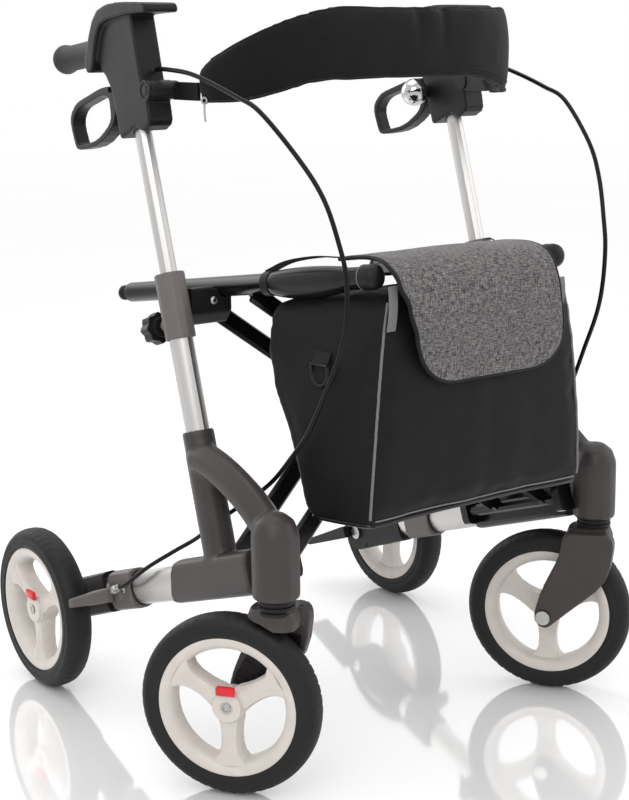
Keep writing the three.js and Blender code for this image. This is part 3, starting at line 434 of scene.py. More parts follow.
MIDDLE = Vector((0, 0, 0.4))
for name, at, size, watts in [("key", (-1.6, -1.4, 1.9), 1.4, 17), ("fill", (1.8, -1.3, 1.4), 1.6, 9),
                              ("top", (0.1, 0.5, 2.4), 1.8, 14), ("back", (-0.6, 2.2, 1.3), 1.6, 12)]:
    lamp = bpy.data.lights.new(name, "AREA")
    lamp.energy, lamp.size = watts, size
    holder = bpy.data.objects.new(name, lamp)
    holder.location = at
    holder.rotation_euler = (MIDDLE - Vector(at)).to_track_quat("-Z", "Y").to_euler()
    bpy.context.scene.collection.objects.link(holder)
print("floor", [round(v, 2) for v in floor.dimensions])

# %% [markdown]
# All places come from the frame's own lines: the leaning mast, the climbing lower tube and the
# seat rails. They are repeated here in millimetres, and turned to metres at the last moment.

# %% lines of the frame
MAST_TILT, LOWER_TILT = math.radians(16.25), math.radians(18.35)
MAST_X, FRAME_X, WHEEL_R = 226.5, 230.0, 100.0
LOWER_FORWARD = Vector((0, -math.cos(LOWER_TILT), math.sin(LOWER_TILT)))
LOWER_UP = Vector((0, math.sin(LOWER_TILT), math.cos(LOWER_TILT)))
RAIL_REAR, RAIL_FRONT = Vector((189, 146, 498)), Vector((129, -222, 546.5))
SIDES = {"right": -1, "left": 1}
MAST_FOOT_Y, LOWER_RISE = -156.5, 174.0


def mast_at(z, x=MAST_X):
    return Vector((x, MAST_FOOT_Y + z * math.tan(MAST_TILT), z))


def lower_at(along, rise=LOWER_RISE, x=FRAME_X):
    return Vector((x, 0, 0)) + LOWER_FORWARD * along + LOWER_UP * rise


def rail_at(y):
    return RAIL_REAR.lerp(RAIL_FRONT, (y - RAIL_REAR.y) / (RAIL_FRONT.y - RAIL_REAR.y))


print("mast top", mast_at(790)[:], "rail middle", rail_at(-40)[:])

# %% [markdown]
# Meshes are made from rings of points. A loft joins rings into a skin, a tube lofts circles
# along a path, and a turned piece lofts a profile around an axis. Each helper returns points
# and faces in millimetres, so several can be joined into one piece, and mirrored to the
# other side.

# %% mesh helpers
MIDST, TO_LEFT, UPRIGHT = Vector((0, 0, 0)), Vector((1, 0, 0)), Vector((0, 0, 1))


def loft(rings, closed=False, caps=True):
    count, width = len(rings), len(rings[0])
    points = [Vector(p) for ring in rings for p in ring]
    faces = []
    for i in range(count if closed else count - 1):
        j = (i + 1) % count
        for k in range(width):
            m = (k + 1) % width
            faces.append((i * width + k, i * width + m, j * width + m, j * width + k))
    if caps and not closed:
        faces.append(tuple(range(width))[::-1])
        faces.append(tuple((count - 1) * width + k for k in range(width)))
    return points, faces


def joined(*parts):
    points, faces = [], []
    for more_points, more_faces in parts:
        faces += [tuple(i + len(points) for i in face) for face in more_faces]
        points += list(more_points)
    return points, faces


def moved(part, matrix):
    return [matrix @ Vector(p) for p in part[0]], part[1]


def sided(part, sign):
    if sign > 0:
        return part
    return [Vector((-p[0], p[1], p[2])) for p in part[0]], [face[::-1] for face in part[1]]


def smooth_path(points, per_span=8):
    """A Catmull-Rom curve through the points."""
    p = [Vector(q) for q in points]
    p = [p[0] * 2 - p[1]] + p + [p[-1] * 2 - p[-2]]
    made = []
    for a, b, c, d in zip(p, p[1:], p[2:], p[3:]):
        for i in range(per_span):
            t = i / per_span
            made.append(0.5 * (2 * b + (c - a) * t + (2 * a - 5 * b + 4 * c - d) * t * t
                + (3 * b - a - 3 * c + d) * t ** 3))
    return made + [p[-2]]


def frames_along(path):
    """Tangent, side and up at each point of a path, turned as little as possible from point to point."""
    tangents = [(b - a).normalized() for a, b in zip(path, path[1:])]
    tangents = [tangents[0]] + [(a + b).normalized() for a,
        b in zip(tangents, tangents[1:])] + [tangents[-1]]
    side = tangents[0].cross(Vector((0, 0, 1)) if abs(tangents[0].z) < 0.9
        else Vector((0, 1, 0))).normalized()
    made = []
    for t in tangents:
        side = (side - t * side.dot(t)).normalized()
        made.append((t, side, t.cross(side)))
    return made


def tube(path, radius, sides=12, flat=1.0):
    path = [Vector(p) for p in path]
    radii = radius if hasattr(radius, "__len__") else [radius] * len(path)
    rings = []
    for p, r, (_, side, rise) in zip(path, radii, frames_along(path)):
        turns = [2 * math.pi * k / sides for k in range(sides)]
        rings.append([p + side * (r * math.cos(a)) + rise * (r * flat * math.sin(a)) for a in turns])
    return loft(rings)


def turned(profile, base, axis, steps=48, closed=False):
    """profile is (radius, distance along the axis); a closed profile makes a ring."""
    turn = UPRIGHT.rotation_difference(Vector(axis)).to_matrix()
    rings = []
    for k in range(steps):
        a = 2 * math.pi * k / steps
        rings.append([turn @ Vector((r * math.cos(a), r * math.sin(a), h)) + Vector(base) for r,
            h in profile])
    points, faces = loft(rings, closed=True)
    if not closed:
        width = len(profile)
        faces = [f for f in faces if not (f[0] % width == width - 1 and f[1] % width == 0)]
    return points, faces


def block(low, high):
    (a, b, c), (d, e, f) = low, high
    return loft([[(a, b, c), (d, b, c), (d, e, c), (a, e, c)],
        [(a, b, f), (d, b, f), (d, e, f), (a, e, f)]])


def piece(name, part, finish, body, replaced=(), sharp=40.0):
    """A named object in metres from points in millimetres, riding on a body of the frame."""
    mesh = bpy.data.meshes.new(name)
    mesh.from_pydata([tuple(Vector(p) * MM) for p in part[0]], [], part[1])
    cleaner = bmesh.new()
    cleaner.from_mesh(mesh)
    bmesh.ops.remove_doubles(cleaner, verts=cleaner.verts, dist=1e-6)
    bmesh.ops.dissolve_degenerate(cleaner, edges=cleaner.edges, dist=1e-7)
    bmesh.ops.recalc_face_normals(cleaner, faces=cleaner.faces)
    cleaner.to_mesh(mesh)
    cleaner.free()
    mesh.materials.append(finish)
    mesh.polygons.foreach_set("use_smooth", [True] * len(mesh.polygons))
    mesh.set_sharp_from_angle(angle=math.radians(sharp))
    made = bpy.data.objects.new(name, mesh)
    bpy.context.scene.collection.objects.link(made)
    if body:
        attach(made, body)
    if replaced:
        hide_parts(*replaced)
    return made


def rounded(thing, width_mm, segments=2):
    """Takes the edge off a piece, as a mould or a file does."""
    bevel = thing.modifiers.new("edge", "BEVEL")
    bevel.width, bevel.segments = width_mm * MM, segments
    bevel.limit_method, bevel.angle_limit = "ANGLE", math.radians(32)
    bevel.use_clamp_overlap = True
    normals = thing.modifiers.new("normals", "WEIGHTED_NORMAL")
    normals.keep_sharp = False
    return thing


print("helpers ready")

# %% [markdown]
# The castings, forks, handles and levers are good shapes with plain edges. A voxel remesh
# modifier followed by a smoothing one melts their corners together, as a mould's fillets do,
# and the frame's own vertices stay as they are. Small turned and machined nodes keep their
# exact shape and get a narrow bevel.

# %% finish the frame nodes
def bare(name, finish):
    cad = nodes[name]
    cad.data.materials.clear()
    cad.data.materials.append(finish)
    cad.data.polygons.foreach_set("use_smooth", [True] * len(cad.data.polygons))
    normals = cad.data.attributes.get("custom_normal")
    if normals:
        cad.data.attributes.remove(normals)
    return cad


def melted(name, finish, cell_mm, passes):
    cad = bare(name, finish)
    skin = cad.modifiers.new("skin", "REMESH")
    skin.mode, skin.voxel_size, skin.use_smooth_shade = "VOXEL", cell_mm * MM * 1, True
    fillet = cad.modifiers.new("fillet", "SMOOTH")
    fillet.factor, fillet.iterations = 0.5, passes


def edged(name, finish, width_mm):
    cad = bare(name, finish)
    weld = cad.modifiers.new("weld", "WELD")
    weld.merge_threshold = 0.01 * MM
    rounded(cad, width_mm)


for side in SIDES:
    for name, finish, cell_mm, passes in [("casting", powder_coat, 1.9, 14),
            ("fork", powder_coat, 1.5, 8),
                                          ("handle", black_moulding, 1.3, 6),
                                          ("brake_lever", black_moulding, 1.0, 4),
                                          ("brake_collar", grey_nylon, 1.3, 4),
                                          ("brake_arm", grey_nylon, 1.2, 4),
                                          ("clamp_housing", grey_nylon, 1.2, 3)]:
        melted(f"{side}_{name}", finish, cell_mm, passes)
    for name, finish, width_mm in [("lower_tube", anodised, 0.4), ("upright_tube", anodised, 0.4),
            ("mast_tube", anodised, 0.4),
                                   ("rear_housing", black_moulding, 1.6), ("rear_axle", zinc_plate, 0.6),
                                   ("front_axle", zinc_plate, 0.6), ("pivot_bracket", black_enamel, 0.8),
                                   ("clamp_knob", black_moulding, 1.0),
                                   ("rail_rest", black_moulding, 1.5),
                                   ("backrest_arm", black_moulding, 1.0)]:
        edged(f"{side}_{name}", finish, width_mm)
edged("brace_to_right_rail", black_enamel, 0.8)
edged("brace_to_left_rail", black_enamel, 0.8)
edged("brace_bolt", zinc_plate, 0.6)
print("finished", sum(len(o.modifiers) > 0 for o in nodes.values()), "frame nodes")

# %% [markdown]
# Each wheel is an off-white rim with three spokes inside a solid tyre. The tyre is turned from
# a half-round profile, with a groove round its side wall and slanted sipes on its shoulders. A
# spoke is lofted: it leaves the hub flat, narrows, then flares into the rim and grows a ridge.
# The wheel is drawn round the X axis with its outer side towards +X.

# %% wheel
SIPES, SIPE_DEPTH, STEPS_PER_SIPE, TREAD_R, CROWN = 54, 0.9, 6, 95, 5
HUB_FACE = 13.0


def tyre_skin():
    half = [(15.4, 76.4), (16.6, 78.2), (17.0, 83.5), (16.4, 85.4), (16.4, 86.6), (16.9, 88.2),
        (16.2, 92), (13.6, 95.8), (9.4, 98.6), (4.8, 99.7)]
    profile = half + [(0, 100)] + [(-x, r) for x, r in reversed(half)]
    steps = SIPES * STEPS_PER_SIPE
    rings = []
    for k in range(steps):
        a = 2 * math.pi * k / steps
        ring = []
        for i, (x, r) in enumerate(profile):
            slant = k + i if x > 0 else k - i
            on_shoulder = r > TREAD_R and abs(x) > CROWN
            cut = SIPE_DEPTH if on_shoulder and slant % STEPS_PER_SIPE == 0 else 0.0
            ring.append((x, (r - cut) * math.sin(a), (r - cut) * math.cos(a)))
        rings.append(ring)
    return loft(rings, closed=True)


def spoke(turn):
    stations = [(6, 12.5, 12.6, 0), (17, 12.5, 12.6, 0), (24, 11, 11.6, 0.2), (34, 10, 11, 0.8),
        (46, 10.4, 11.2, 1.8), (55, 13, 12, 2.6), (61, 18.5, 12.8, 2.2), (66, 26, 13.2, 1.2)]
    rings = []
    for r, wide, front, ridge in stations:
        section = [(-wide, -8), (wide, -8), (wide, front - 5), (wide - 2.5, front - 1),
            (wide * 0.35, front), (0, front + ridge), (-wide * 0.35, front), (2.5 - wide, front - 1),
            (-wide, front - 5)]
        rings.append([(x, y, -r) for y, x in section])
    return moved(loft(rings), Matrix.Rotation(turn, 4, "X"))


def rim_skin():
    ring = turned([(77, -15.4), (75.8, -16), (71, -15), (65.5, -12.5), (63, -8.5), (62.2, 0), (63, 7.5),
        (65.5, 12), (69, 14.6), (73.5, 15.8), (75.8, 16.2), (77, 15.6)],
                  MIDST, TO_LEFT, 96, closed=True)
    hub = turned([(0, -12.5), (13, -12.5), (16.5, -11), (17.5, -8), (17.8, HUB_FACE - 1.2),
        (16.8, HUB_FACE), (0, HUB_FACE)], MIDST, TO_LEFT, 48)
    disc = turned([(0, HUB_FACE - 1), (16.6, HUB_FACE - 1), (16.6, 15.4), (15.8, 16.4), (7.4, 16.4),
        (6.8, 15.6), (0, 15.6)], MIDST, TO_LEFT, 48)
    disc = [Vector((p[0], p[1], min(p[2], 13.6))) for p in disc[0]], disc[1]
    return joined(ring, hub, disc, *[spoke(math.radians(120 * i)) for i in range(3)])


def release_cap():
    outline = [(-10.5, 16.5), (-9.5, 14.4), (9.5, 14.4), (10.5, 16.5), (10.5, 22.5), (9, 24.6),
        (-9, 24.6), (-10.5, 22.5)]
    rings = [[(x, y * s, 19.5 + (z - 19.5) * s) for y, z in outline] for x,
        s in [(16.6, 1), (19.4, 1), (20.2, 0.93), (20.5, 0.8)]]
    return loft(rings)


def axle_tip():
    return turned([(0, 15), (5.2, 15), (5.2, 17.2), (4.5, 17.9), (3.6, 17.9), (3.2, 17.0), (0, 17.0)],
        MIDST, TO_LEFT, 32)


CASTER_AT, CASTER_TRAIL, REAR_AXLE = (233.9, -202.6), 52.7, (280, 240)
CASTER_TURN = {"right": math.radians(36), "left": math.radians(34)}
caster_place = {}
for side, sign in SIDES.items():
    caster_place[side] = Matrix.Translation((sign * CASTER_AT[0], CASTER_AT[1],
        0)) @ Matrix.Rotation(CASTER_TURN[side], 4, "Z")
    for place, at in [("rear", Matrix.Translation((sign * REAR_AXLE[0], REAR_AXLE[1], WHEEL_R))),
                      ("front", caster_place[side] @ Matrix.Translation((0, CASTER_TRAIL, WHEEL_R)))]:
        wheel = f"{side}_{place}"
        for name, part, finish, body, slot, replaced in [
                ("rim_moulding", rim_skin(), rim_nylon, "wheel", "rim_plastic", ["rim"]),
                ("tyre_tread", tyre_skin(), tyre_polyurethane, "wheel", "tyre_rubber", ["tyre"]),
                ("axle_tip", axle_tip(), zinc_plate, "wheel", "steel", []),
                ("release_cap", release_cap(), red_acetal, "release", "red_plastic", ["button"])]:
            piece(f"{wheel}_{name}", moved(sided(part, sign), at), finish, f"{wheel}_{body}",
                [f"{wheel}_{n}" for n in replaced])
print("tyre points", len(tyre_skin()[0]), "rim points", len(rim_skin()[0]))

# %% [markdown]
# The seat rails are round tubes that the sitter's hands also use. Towards the front each has a
# glossy oval cover, then a domed end cap behind a pale ring. The cover is lofted by swelling
# the tube's circle into an oval and back. A collar closes the cover, and a webbing strap runs
# from the collar to the flap of the bag.

# %% seat rails
RAIL_R = 11.5
COVER_START, COVER_LENGTH, COVER_WIDER, COVER_TALLER, COVER_SINK = 26, 108, 2.4, 4.6, 1.6
RAIL_LENGTH = (RAIL_REAR - RAIL_FRONT).length
rail_back = (RAIL_REAR - RAIL_FRONT).normalized()
rail_side = rail_back.cross(Vector((0, 0, 1))).normalized()
rail_rise = rail_side.cross(rail_back)


def on_rail(along):
    return RAIL_FRONT + rail_back * along


def rail_ring(along, wide, tall, offset=(0, 0), steps=32):
    middle = on_rail(along) + rail_side * offset[0] + rail_rise * offset[1]
    turns = [2 * math.pi * k / steps for k in range(steps)]
    return [middle + rail_side * (wide * math.cos(a)) + rail_rise * (tall * math.sin(a)) for a in turns]


def rail_skin():
    lip = RAIL_R + 0.8
    cover_end = COVER_START + COVER_LENGTH
    rings = [rail_ring(-2, RAIL_R, RAIL_R), rail_ring(COVER_START - 2, RAIL_R, RAIL_R),
        rail_ring(COVER_START, lip, lip)]
    for i in range(1, 24):
        share = i / 24
        swell = math.sin(math.pi * share) ** 0.7
        wide, tall = RAIL_R + 1 + COVER_WIDER * swell, RAIL_R + 1 + COVER_TALLER * swell
        rings.append(rail_ring(COVER_START + COVER_LENGTH * share, wide, tall, (0, -COVER_SINK * swell)))
    rings += [rail_ring(cover_end, lip, lip), rail_ring(cover_end + 2, RAIL_R, RAIL_R)]
    return loft(rings + [rail_ring(RAIL_LENGTH, RAIL_R, RAIL_R)])


def ring_on_rail(start, end, radius):
    shape = [(start, RAIL_R - 1), (start, radius - 0.8), (start + 0.8, radius), (end - 0.8, radius),
        (end, radius - 0.8), (end, RAIL_R - 1)]
    return loft([rail_ring(along, r, r) for along, r in shape])


def rail_dome():
    shape = [(-1, RAIL_R), (-1, RAIL_R + 1.8), (-12, RAIL_R + 2), (-16.5, RAIL_R + 1),
        (-19.5, RAIL_R - 2.5), (-21, 5), (-21.3, 2)]
    return loft([rail_ring(along, r, r) for along, r in shape])


def rail_plug():
    profile = [(0, -3), (10.4, -3), (11, -2), (11, 2.5), (10, 3.5), (6.4, 5.5), (6.4, 10), (8, 11.4),
        (8.9, 14), (8.6, 17), (6.4, 20), (2.6, 21.4), (0, 21.5)]
    return turned(profile, RAIL_REAR, rail_back, 32)


RAIL_BODY = {"left": "brace_a", "right": "brace_b"}
for side, sign in SIDES.items():
    body = RAIL_BODY[side]
    piece(f"{side}_rail_tube", sided(rail_skin(), sign), black_enamel, body,
        [f"{side}_seat_rail"])
    piece(f"{side}_rail_cap_ring", sided(ring_on_rail(-1.2, 0.6, RAIL_R + 2.2), sign), reflective_piping,
        body)
    piece(f"{side}_rail_cap", sided(rail_dome(), sign), black_moulding, body, sharp=60)
    piece(f"{side}_rail_collar", sided(ring_on_rail(133, 144, RAIL_R + 2.2), sign), black_moulding, body)
    piece(f"{side}_rail_plug", sided(rail_plug(), sign), black_moulding, body, sharp=60)


def rail_strap():
    start, end = on_rail(138) + rail_rise * (RAIL_R + 1), Vector((112, -156, 559))
    route = smooth_path([start, start.lerp(end, 0.3) + Vector((0, 0, 6)),
        start.lerp(end, 0.7) + Vector((0, 0, 5)), end], 6)
    return loft([[p + Vector(step) for step in [(-3, -5, 0), (3, 5, 0), (3, 5, 1.6), (-3, -5, 1.6)]]
        for p in route])


for side, sign in SIDES.items():
    strap = piece(f"{side}_rail_strap", sided(rail_strap(), sign), webbing, RAIL_BODY[side])
    rounded(strap, 0.5)
    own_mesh(strap)
print("rail length", round(RAIL_LENGTH), "mm")

# %% [markdown]
# Small turned fittings finish the handles: the grip with its flared end, the boss that the
# backrest arm swings on, the cable stop and the bell. The bell is a chromed dome on a short
# foot, with a parting line round its middle.

# %% handle fittings
GRIP_START, GRIP_AXIS = Vector((MAST_X, 122, 778)), Vector((0, 88, -9)).normalized()
BACKREST_PIVOT = Vector((MAST_X, 8, 735))


def grip_skin():
    profile = [(9.6, 12), (14.4, 12), (15, 13), (15, 16), (14.6, 18), (14.5, 50), (14.6, 78), (15.6, 84),
        (16.6, 89), (17, 92.5), (16.4, 95), (14.5, 96.4), (0, 96.6)]
    return turned(profile, GRIP_START, GRIP_AXIS, 40)


def pivot_boss():
    profile = [(0, 14.6), (11.2, 14.6), (11.2, 17.6), (10.4, 18.4), (8.6, 18.4), (8.2, 17.5), (5.6, 17.5),
        (5.2, 18.1), (0, 18.1)]
    return turned(profile, BACKREST_PIVOT, TO_LEFT, 40)


# Painted shade: the slot across the boss's cap is not cut; a thin darker enamel block, a little proud of the
# face, stands for the shadow in it.
def boss_slot_shade():
    x = MAST_X + 18.1
    return block((x - 0.6, 6.4, 731.4), (x + 0.25, 9.6, 738.6))


def cable_stop():
    return turned([(0, -6), (3.4, -6), (3.6, -5), (3.6, 4), (4.6, 5), (4.6, 10), (3.4, 11), (2.7, 16),
        (0, 16)], (222, 36, 755), (0, -1, 0.05), 20)


for side, sign in SIDES.items():
    mast = f"{side}_mast"
    piece(f"{side}_grip_sleeve", sided(grip_skin(), sign), grip_rubber, mast,
        [f"{side}_grip"], sharp=55)
    piece(f"{side}_pivot_boss", sided(pivot_boss(), sign), black_moulding, mast)
    piece(f"{side}_pivot_slot_shade", sided(boss_slot_shade(), sign), black_enamel, mast)
    piece(f"{side}_cable_stop", sided(cable_stop(), sign), zinc_plate, mast)

BELL, BELL_R = Vector((192, 80, 722)), 17
turns = [math.pi * k / 22 for k in range(1, 22)]
dome = [(BELL_R * math.sin(a), -BELL_R * math.cos(a)) for a in turns]
dome[10:11] = [(BELL_R, -0.8), (BELL_R - 0.5, -0.5), (BELL_R - 0.5, 0.5), (BELL_R, 0.8)]
piece("bell_dome", turned([(0, -BELL_R)] + dome + [(0, BELL_R)], BELL, (1, -0.2, 0.3), 56), chrome,
    "left_mast", ["bell"], sharp=60)
piece("bell_foot", turned([(0, 14), (6.5, 14), (7.5, 16), (7.5, 19.2), (0, 19.2)], BELL, TO_LEFT, 24),
    black_moulding, "left_mast")
print("bell across", 2 * BELL_R, "mm")

# %% [markdown]
# Each brake cable is a Bowden cable, 5 mm across its black housing. It leaves the handle
# forwards, arches clear of the bag and enters the adjuster on the brake collar. It is stiff
# and fixed at both ends, so it stands in its own arc.

# %% brake cables
CABLE_ROUTE = [(222, 20.5, 756), (222, 6, 757), (221, -41, 753), (219, -79, 744), (216, -126, 729),
    (213, -163, 714), (202, -213, 668), (192, -239, 630),
               (185, -254, 585), (182, -260, 554), (181, -258, 513), (182, -249, 479), (185, -229, 438),
               (190, -204, 391), (195, -180, 360), (202, -150, 327),
               (206, -98, 292), (204, -44, 260), (207, -8, 234), (222, 18, 215), (243, 46, 192),
               (254, 74, 168), (257, 93, 158)]
CABLE_WIDTH = 5.0
ADJUSTER_FOOT = Vector((257, 110, 149))
route = smooth_path(CABLE_ROUTE, 6)
for side, sign in SIDES.items():
    cable = piece(f"{side}_brake_cable_housing", sided(tube(route, CABLE_WIDTH / 2, 12), sign),
        cable_jacket, None, [f"{side}_brake_cable"])
    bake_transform(cable)
    foot = Vector(CABLE_ROUTE[-1])
    reach = (ADJUSTER_FOOT - foot).length
    profile = [(0, -8), (3.4, -8), (3.6, -7), (3.6, 0), (4.9, 0.6), (4.9, 2.4), (4.5, 3), (4.9, 3.6),
        (4.9, 8.6), (4.2, 9.4), (3.2, 9.8), (3.2, reach - 4), (0, reach - 4)]
    piece(f"{side}_cable_adjuster", sided(turned(profile, foot, ADJUSTER_FOOT - foot, 24), sign),
        zinc_plate, f"{side}_frame")

# %% [markdown]
# The bottom of each caster has a black bearing ring with two grooves, and the inner side of
# each fork is closed by a black moulded liner with crossed ribs. The liner is drawn in the
# caster's own frame, on the wheel side of the arm.

# %% caster fittings
LINER_X = -18.6


def bearing_rings():
    profile = [(12, 206), (19.5, 206), (20.2, 207), (20.2, 209.5), (18.4, 210.2), (18.4, 211.6),
        (20.2, 212.3), (20.2, 215), (18.4, 215.7), (18.4, 217), (20, 217.8), (20, 220.6), (12, 220.6)]
    return turned(profile, MIDST, UPRIGHT, 48)


def liner():
    sheet = loft([[(x, y, z) for y, z in [(-20, 176), (-18, 150), (37, 100), (52, 90), (60, 98),
        (54, 126), (24, 178)]] for x in (LINER_X - 0.9, LINER_X - 0.2)])
    ribs = []
    for (y0, z0), (y1, z1) in [((-18, 172), (38, 104)), ((22, 172), (-14, 150)), ((30, 164), (4, 134)),
            ((44, 142), (14, 122)), ((-4, 172), (10, 130)), ((52, 122), (30, 110)),
            ((8, 174), (34, 116))]:
        ribs.append(tube([(LINER_X, y0, z0), (LINER_X, y1, z1)], 1.0, 8))
    return joined(sheet, *ribs)


for side, sign in SIDES.items():
    place = caster_place[side]
    piece(f"{side}_bearing_rings", moved(sided(bearing_rings(), sign), place), black_moulding,
        f"{side}_caster")
    piece(f"{side}_fork_liner", moved(sided(liner(), sign), place), black_moulding, f"{side}_caster")
print("caster fittings placed")

# %% [markdown]
# Pan-head screws hold the rail rests and close the brake collars. A screw is a turned head. Its
# cross slot is not cut: two dark bars on its face are painted shade, standing for the slot's shadow.

# %% screws
def screw(at, axis, radius, sign):
    head = turned([(0, 0), (radius, 0), (radius, 1.0), (radius * 0.8, 2.2), (radius * 0.4, 2.7),
        (0, 2.8)], at, axis, 24)
    return sided(head, sign)


# Painted shade: two dark enamel bars, a little proud of the zinc head, stand for the shadow in the cross slot.
def screw_cross_shade(at, axis, radius, sign):
    turn = UPRIGHT.rotation_difference(Vector(axis)).to_matrix().to_4x4()
    bars = joined(block((-radius * 0.5, -0.5, 2.4), (radius * 0.5, 0.5, 3.0)),
        block((-0.5, -radius * 0.5, 2.4), (0.5, radius * 0.5, 3.0)))
    return sided(moved(bars, Matrix.Translation(at) @ turn), sign)


screws = [("rest_screw", (182, -18.6, 506), (0, -1, 0), 4.5, "frame"),
          ("collar_screw", (FRAME_X + 15.2, lower_at(-45).y, lower_at(-45).z), (1, 0, 0), 3.4, "frame")]
for side, sign in SIDES.items():
    for name, at, axis, radius, body in screws:
        piece(f"{side}_{name}", screw(at, axis, radius, sign), zinc_plate, f"{side}_{body}")
        piece(f"{side}_{name}_recess_shade", screw_cross_shade(at, axis, radius, sign), black_enamel,
            f"{side}_{body}")
print(len(screws) * 2, "screws")

# %% [markdown]
# Soft pieces are drawn as closed skins first. A stuffed one is then swollen by a short cloth
# simulation: its skin is remeshed to even cells, pressure pushes it out with gravity off, and
# no point may move further than a cap. That puts in the small hollows between seams that a
# drawn skin lacks. One subdivision smooths the result.

# %% swelling by cloth
def evaluated_mesh(thing):
    graph = bpy.context.evaluated_depsgraph_get()
    return bpy.data.meshes.new_from_object(thing.evaluated_get(graph))


def swollen(thing, cell_mm, pressure, cap_mm, steps=20):
    remesh = thing.modifiers.new("cells", "REMESH")
    remesh.mode, remesh.voxel_size, remesh.use_smooth_shade = "VOXEL", cell_mm * MM, True
    thing.data = evaluated_mesh(thing)
    thing.modifiers.clear()
    start = np.array([v.co for v in thing.data.vertices])
    cloth = thing.modifiers.new("cloth", "CLOTH")
    cloth.settings.quality = 4
    cloth.settings.mass = 0.2
    cloth.settings.tension_stiffness = cloth.settings.compression_stiffness = 20
    cloth.settings.bending_stiffness = 1.5
    cloth.settings.use_pressure = True
    cloth.settings.uniform_pressure_force = pressure
    cloth.settings.effector_weights.gravity = 0
    cloth.collision_settings.use_collision = False
    cloth.point_cache.frame_start, cloth.point_cache.frame_end = 1, steps
    for frame_number in range(1, steps + 1):
        bpy.context.scene.frame_set(frame_number)
    settled = evaluated_mesh(thing)
    thing.modifiers.clear()
    end = np.array([v.co for v in settled.vertices])
    step = end - start
    length = np.linalg.norm(step, axis=1, keepdims=True)
    step *= np.minimum(1, cap_mm * MM / np.maximum(length, 1e-9))
    thing.data.vertices.foreach_set("co", (start + step).ravel())
    bpy.context.scene.frame_set(1)
    print(thing.name, "swelled by at most", round(float(length.max()) / MM, 1), "mm, capped at",
        cap_mm)
    smooth = thing.modifiers.new("round", "SUBSURF")
    smooth.levels = smooth.render_levels = 1
    thing.data = evaluated_mesh(thing)
    thing.modifiers.clear()
    thing.data.polygons.foreach_set("use_smooth", [True] * len(thing.data.polygons))
    return thing


# %% [markdown]
# The backrest is a padded band that curves round the sitter. It is lofted from upright slices:
# each slice is a slim rounded rectangle that stands on the plan curve, low at the ends and
# high in the middle. Two creases fall from its top edge, where the foam inside has a joint.

# %% backrest band
BAND_PLAN = [(201, -40), (196, -66), (172, -97), (120, -117), (60, -124), (0, -126)]
BAND_SLICES = 110
BAND_CREASES = [(0.462, 0.35, 3.2), (0.385, 0.3, 3.4),
    (0.425, 0.45, -1.4)]  # share of the length, lower end, depth
CREASE_WIDTH = 4.5
BAND_FOOT, BAND_HEAD = (722.5, 742.0), (757.0, 821.0)  # height of each edge, at the ends and between them
band_half = [Vector((x, y, 0)) for x, y in BAND_PLAN]
band_plan = smooth_path(band_half + [Vector((-p.x, p.y, 0)) for p in reversed(band_half[:-1])], 12)
band_steps = [0.0]
for a, b in zip(band_plan, band_plan[1:]):
    band_steps.append(band_steps[-1] + (b - a).length)
BAND_LENGTH = band_steps[-1]


def band_at(share):
    """Point and outward direction of the plan curve at a share of its length, from the left end."""
    place = share * BAND_LENGTH
    i = max(1, next((k for k, s in enumerate(band_steps) if s >= place), len(band_steps) - 1))
    t = (place - band_steps[i - 1]) / (band_steps[i] - band_steps[i - 1])
    along = (band_plan[i] - band_plan[i - 1]).normalized()
    return band_plan[i - 1].lerp(band_plan[i], t), Vector((-along.y, along.x, 0))


def band_edges(share):
    end = min(share, 1 - share)
    taper = 0.16 if share < 0.5 else 0.36
    rise = min(1.0, max(0.0, (end - 0.08) / 0.22))
    bottom = BAND_FOOT[0] + (BAND_FOOT[1] - BAND_FOOT[0]) * rise * rise * (3 - 2 * rise)
    top = BAND_HEAD[0] + (BAND_HEAD[1] - BAND_HEAD[0]) * math.sin(min(1, end / taper) * math.pi / 2)
    return bottom, top


def band_point(share, v, face):
    at, out = band_at(share)
    bottom, top = band_edges(share)
    swell = 3.2 + 5.2 * math.sin(math.pi * v) ** 0.6
    crease = 0.0
    for place, low, depth in BAND_CREASES:
        off = (share - place) * BAND_LENGTH / CREASE_WIDTH
        crease += depth * math.exp(-off ** 2) * max(0, (v - low) / (1 - low))
    wave = 0.9 * noise.noise(Vector((share * 14, v * 3, face * 2)))
    return at + out * (face * (swell - crease + wave)) + Vector((0, 0, bottom + (top - bottom) * v))


band_rings = []
for i in range(BAND_SLICES + 1):
    share = i / BAND_SLICES
    heights = [k / 14 for k in range(15)]
    band_rings.append([band_point(share, v, 1) for v in heights]
        + [band_point(share, v, -1) for v in reversed(heights)])
band = piece("band_cushion", loft(band_rings), band_knit, None, ["backrest_band"])
swollen(band, 4.5, 1.6, 2.0)
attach(band, "right_backrest")
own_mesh(band)
print("band", round(BAND_LENGTH), "mm round its curve,", len(band.data.vertices), "points")

# %% [markdown]
# A black piping closes the band's lower outer edge, and a zip with a small puller shows at the
# right end, where the cover comes off for washing. Both are tubes laid on the band's skin, and
# they ride with it.

# %% band piping and zip
def skin_of(thing):
    return BVHTree.FromObject(thing, bpy.context.evaluated_depsgraph_get())


def laid_on(skin, points, lift_mm):
    """Moves each point, in millimetres, to the nearest place on a skin and a little off it."""
    made = []
    for p in points:
        at, normal, _, _ = skin.find_nearest(Vector(p) * MM)
        made.append(at / MM + normal * lift_mm)
    return made


def flattens(thing, body):
    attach(thing, body)
    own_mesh(thing)
    return thing


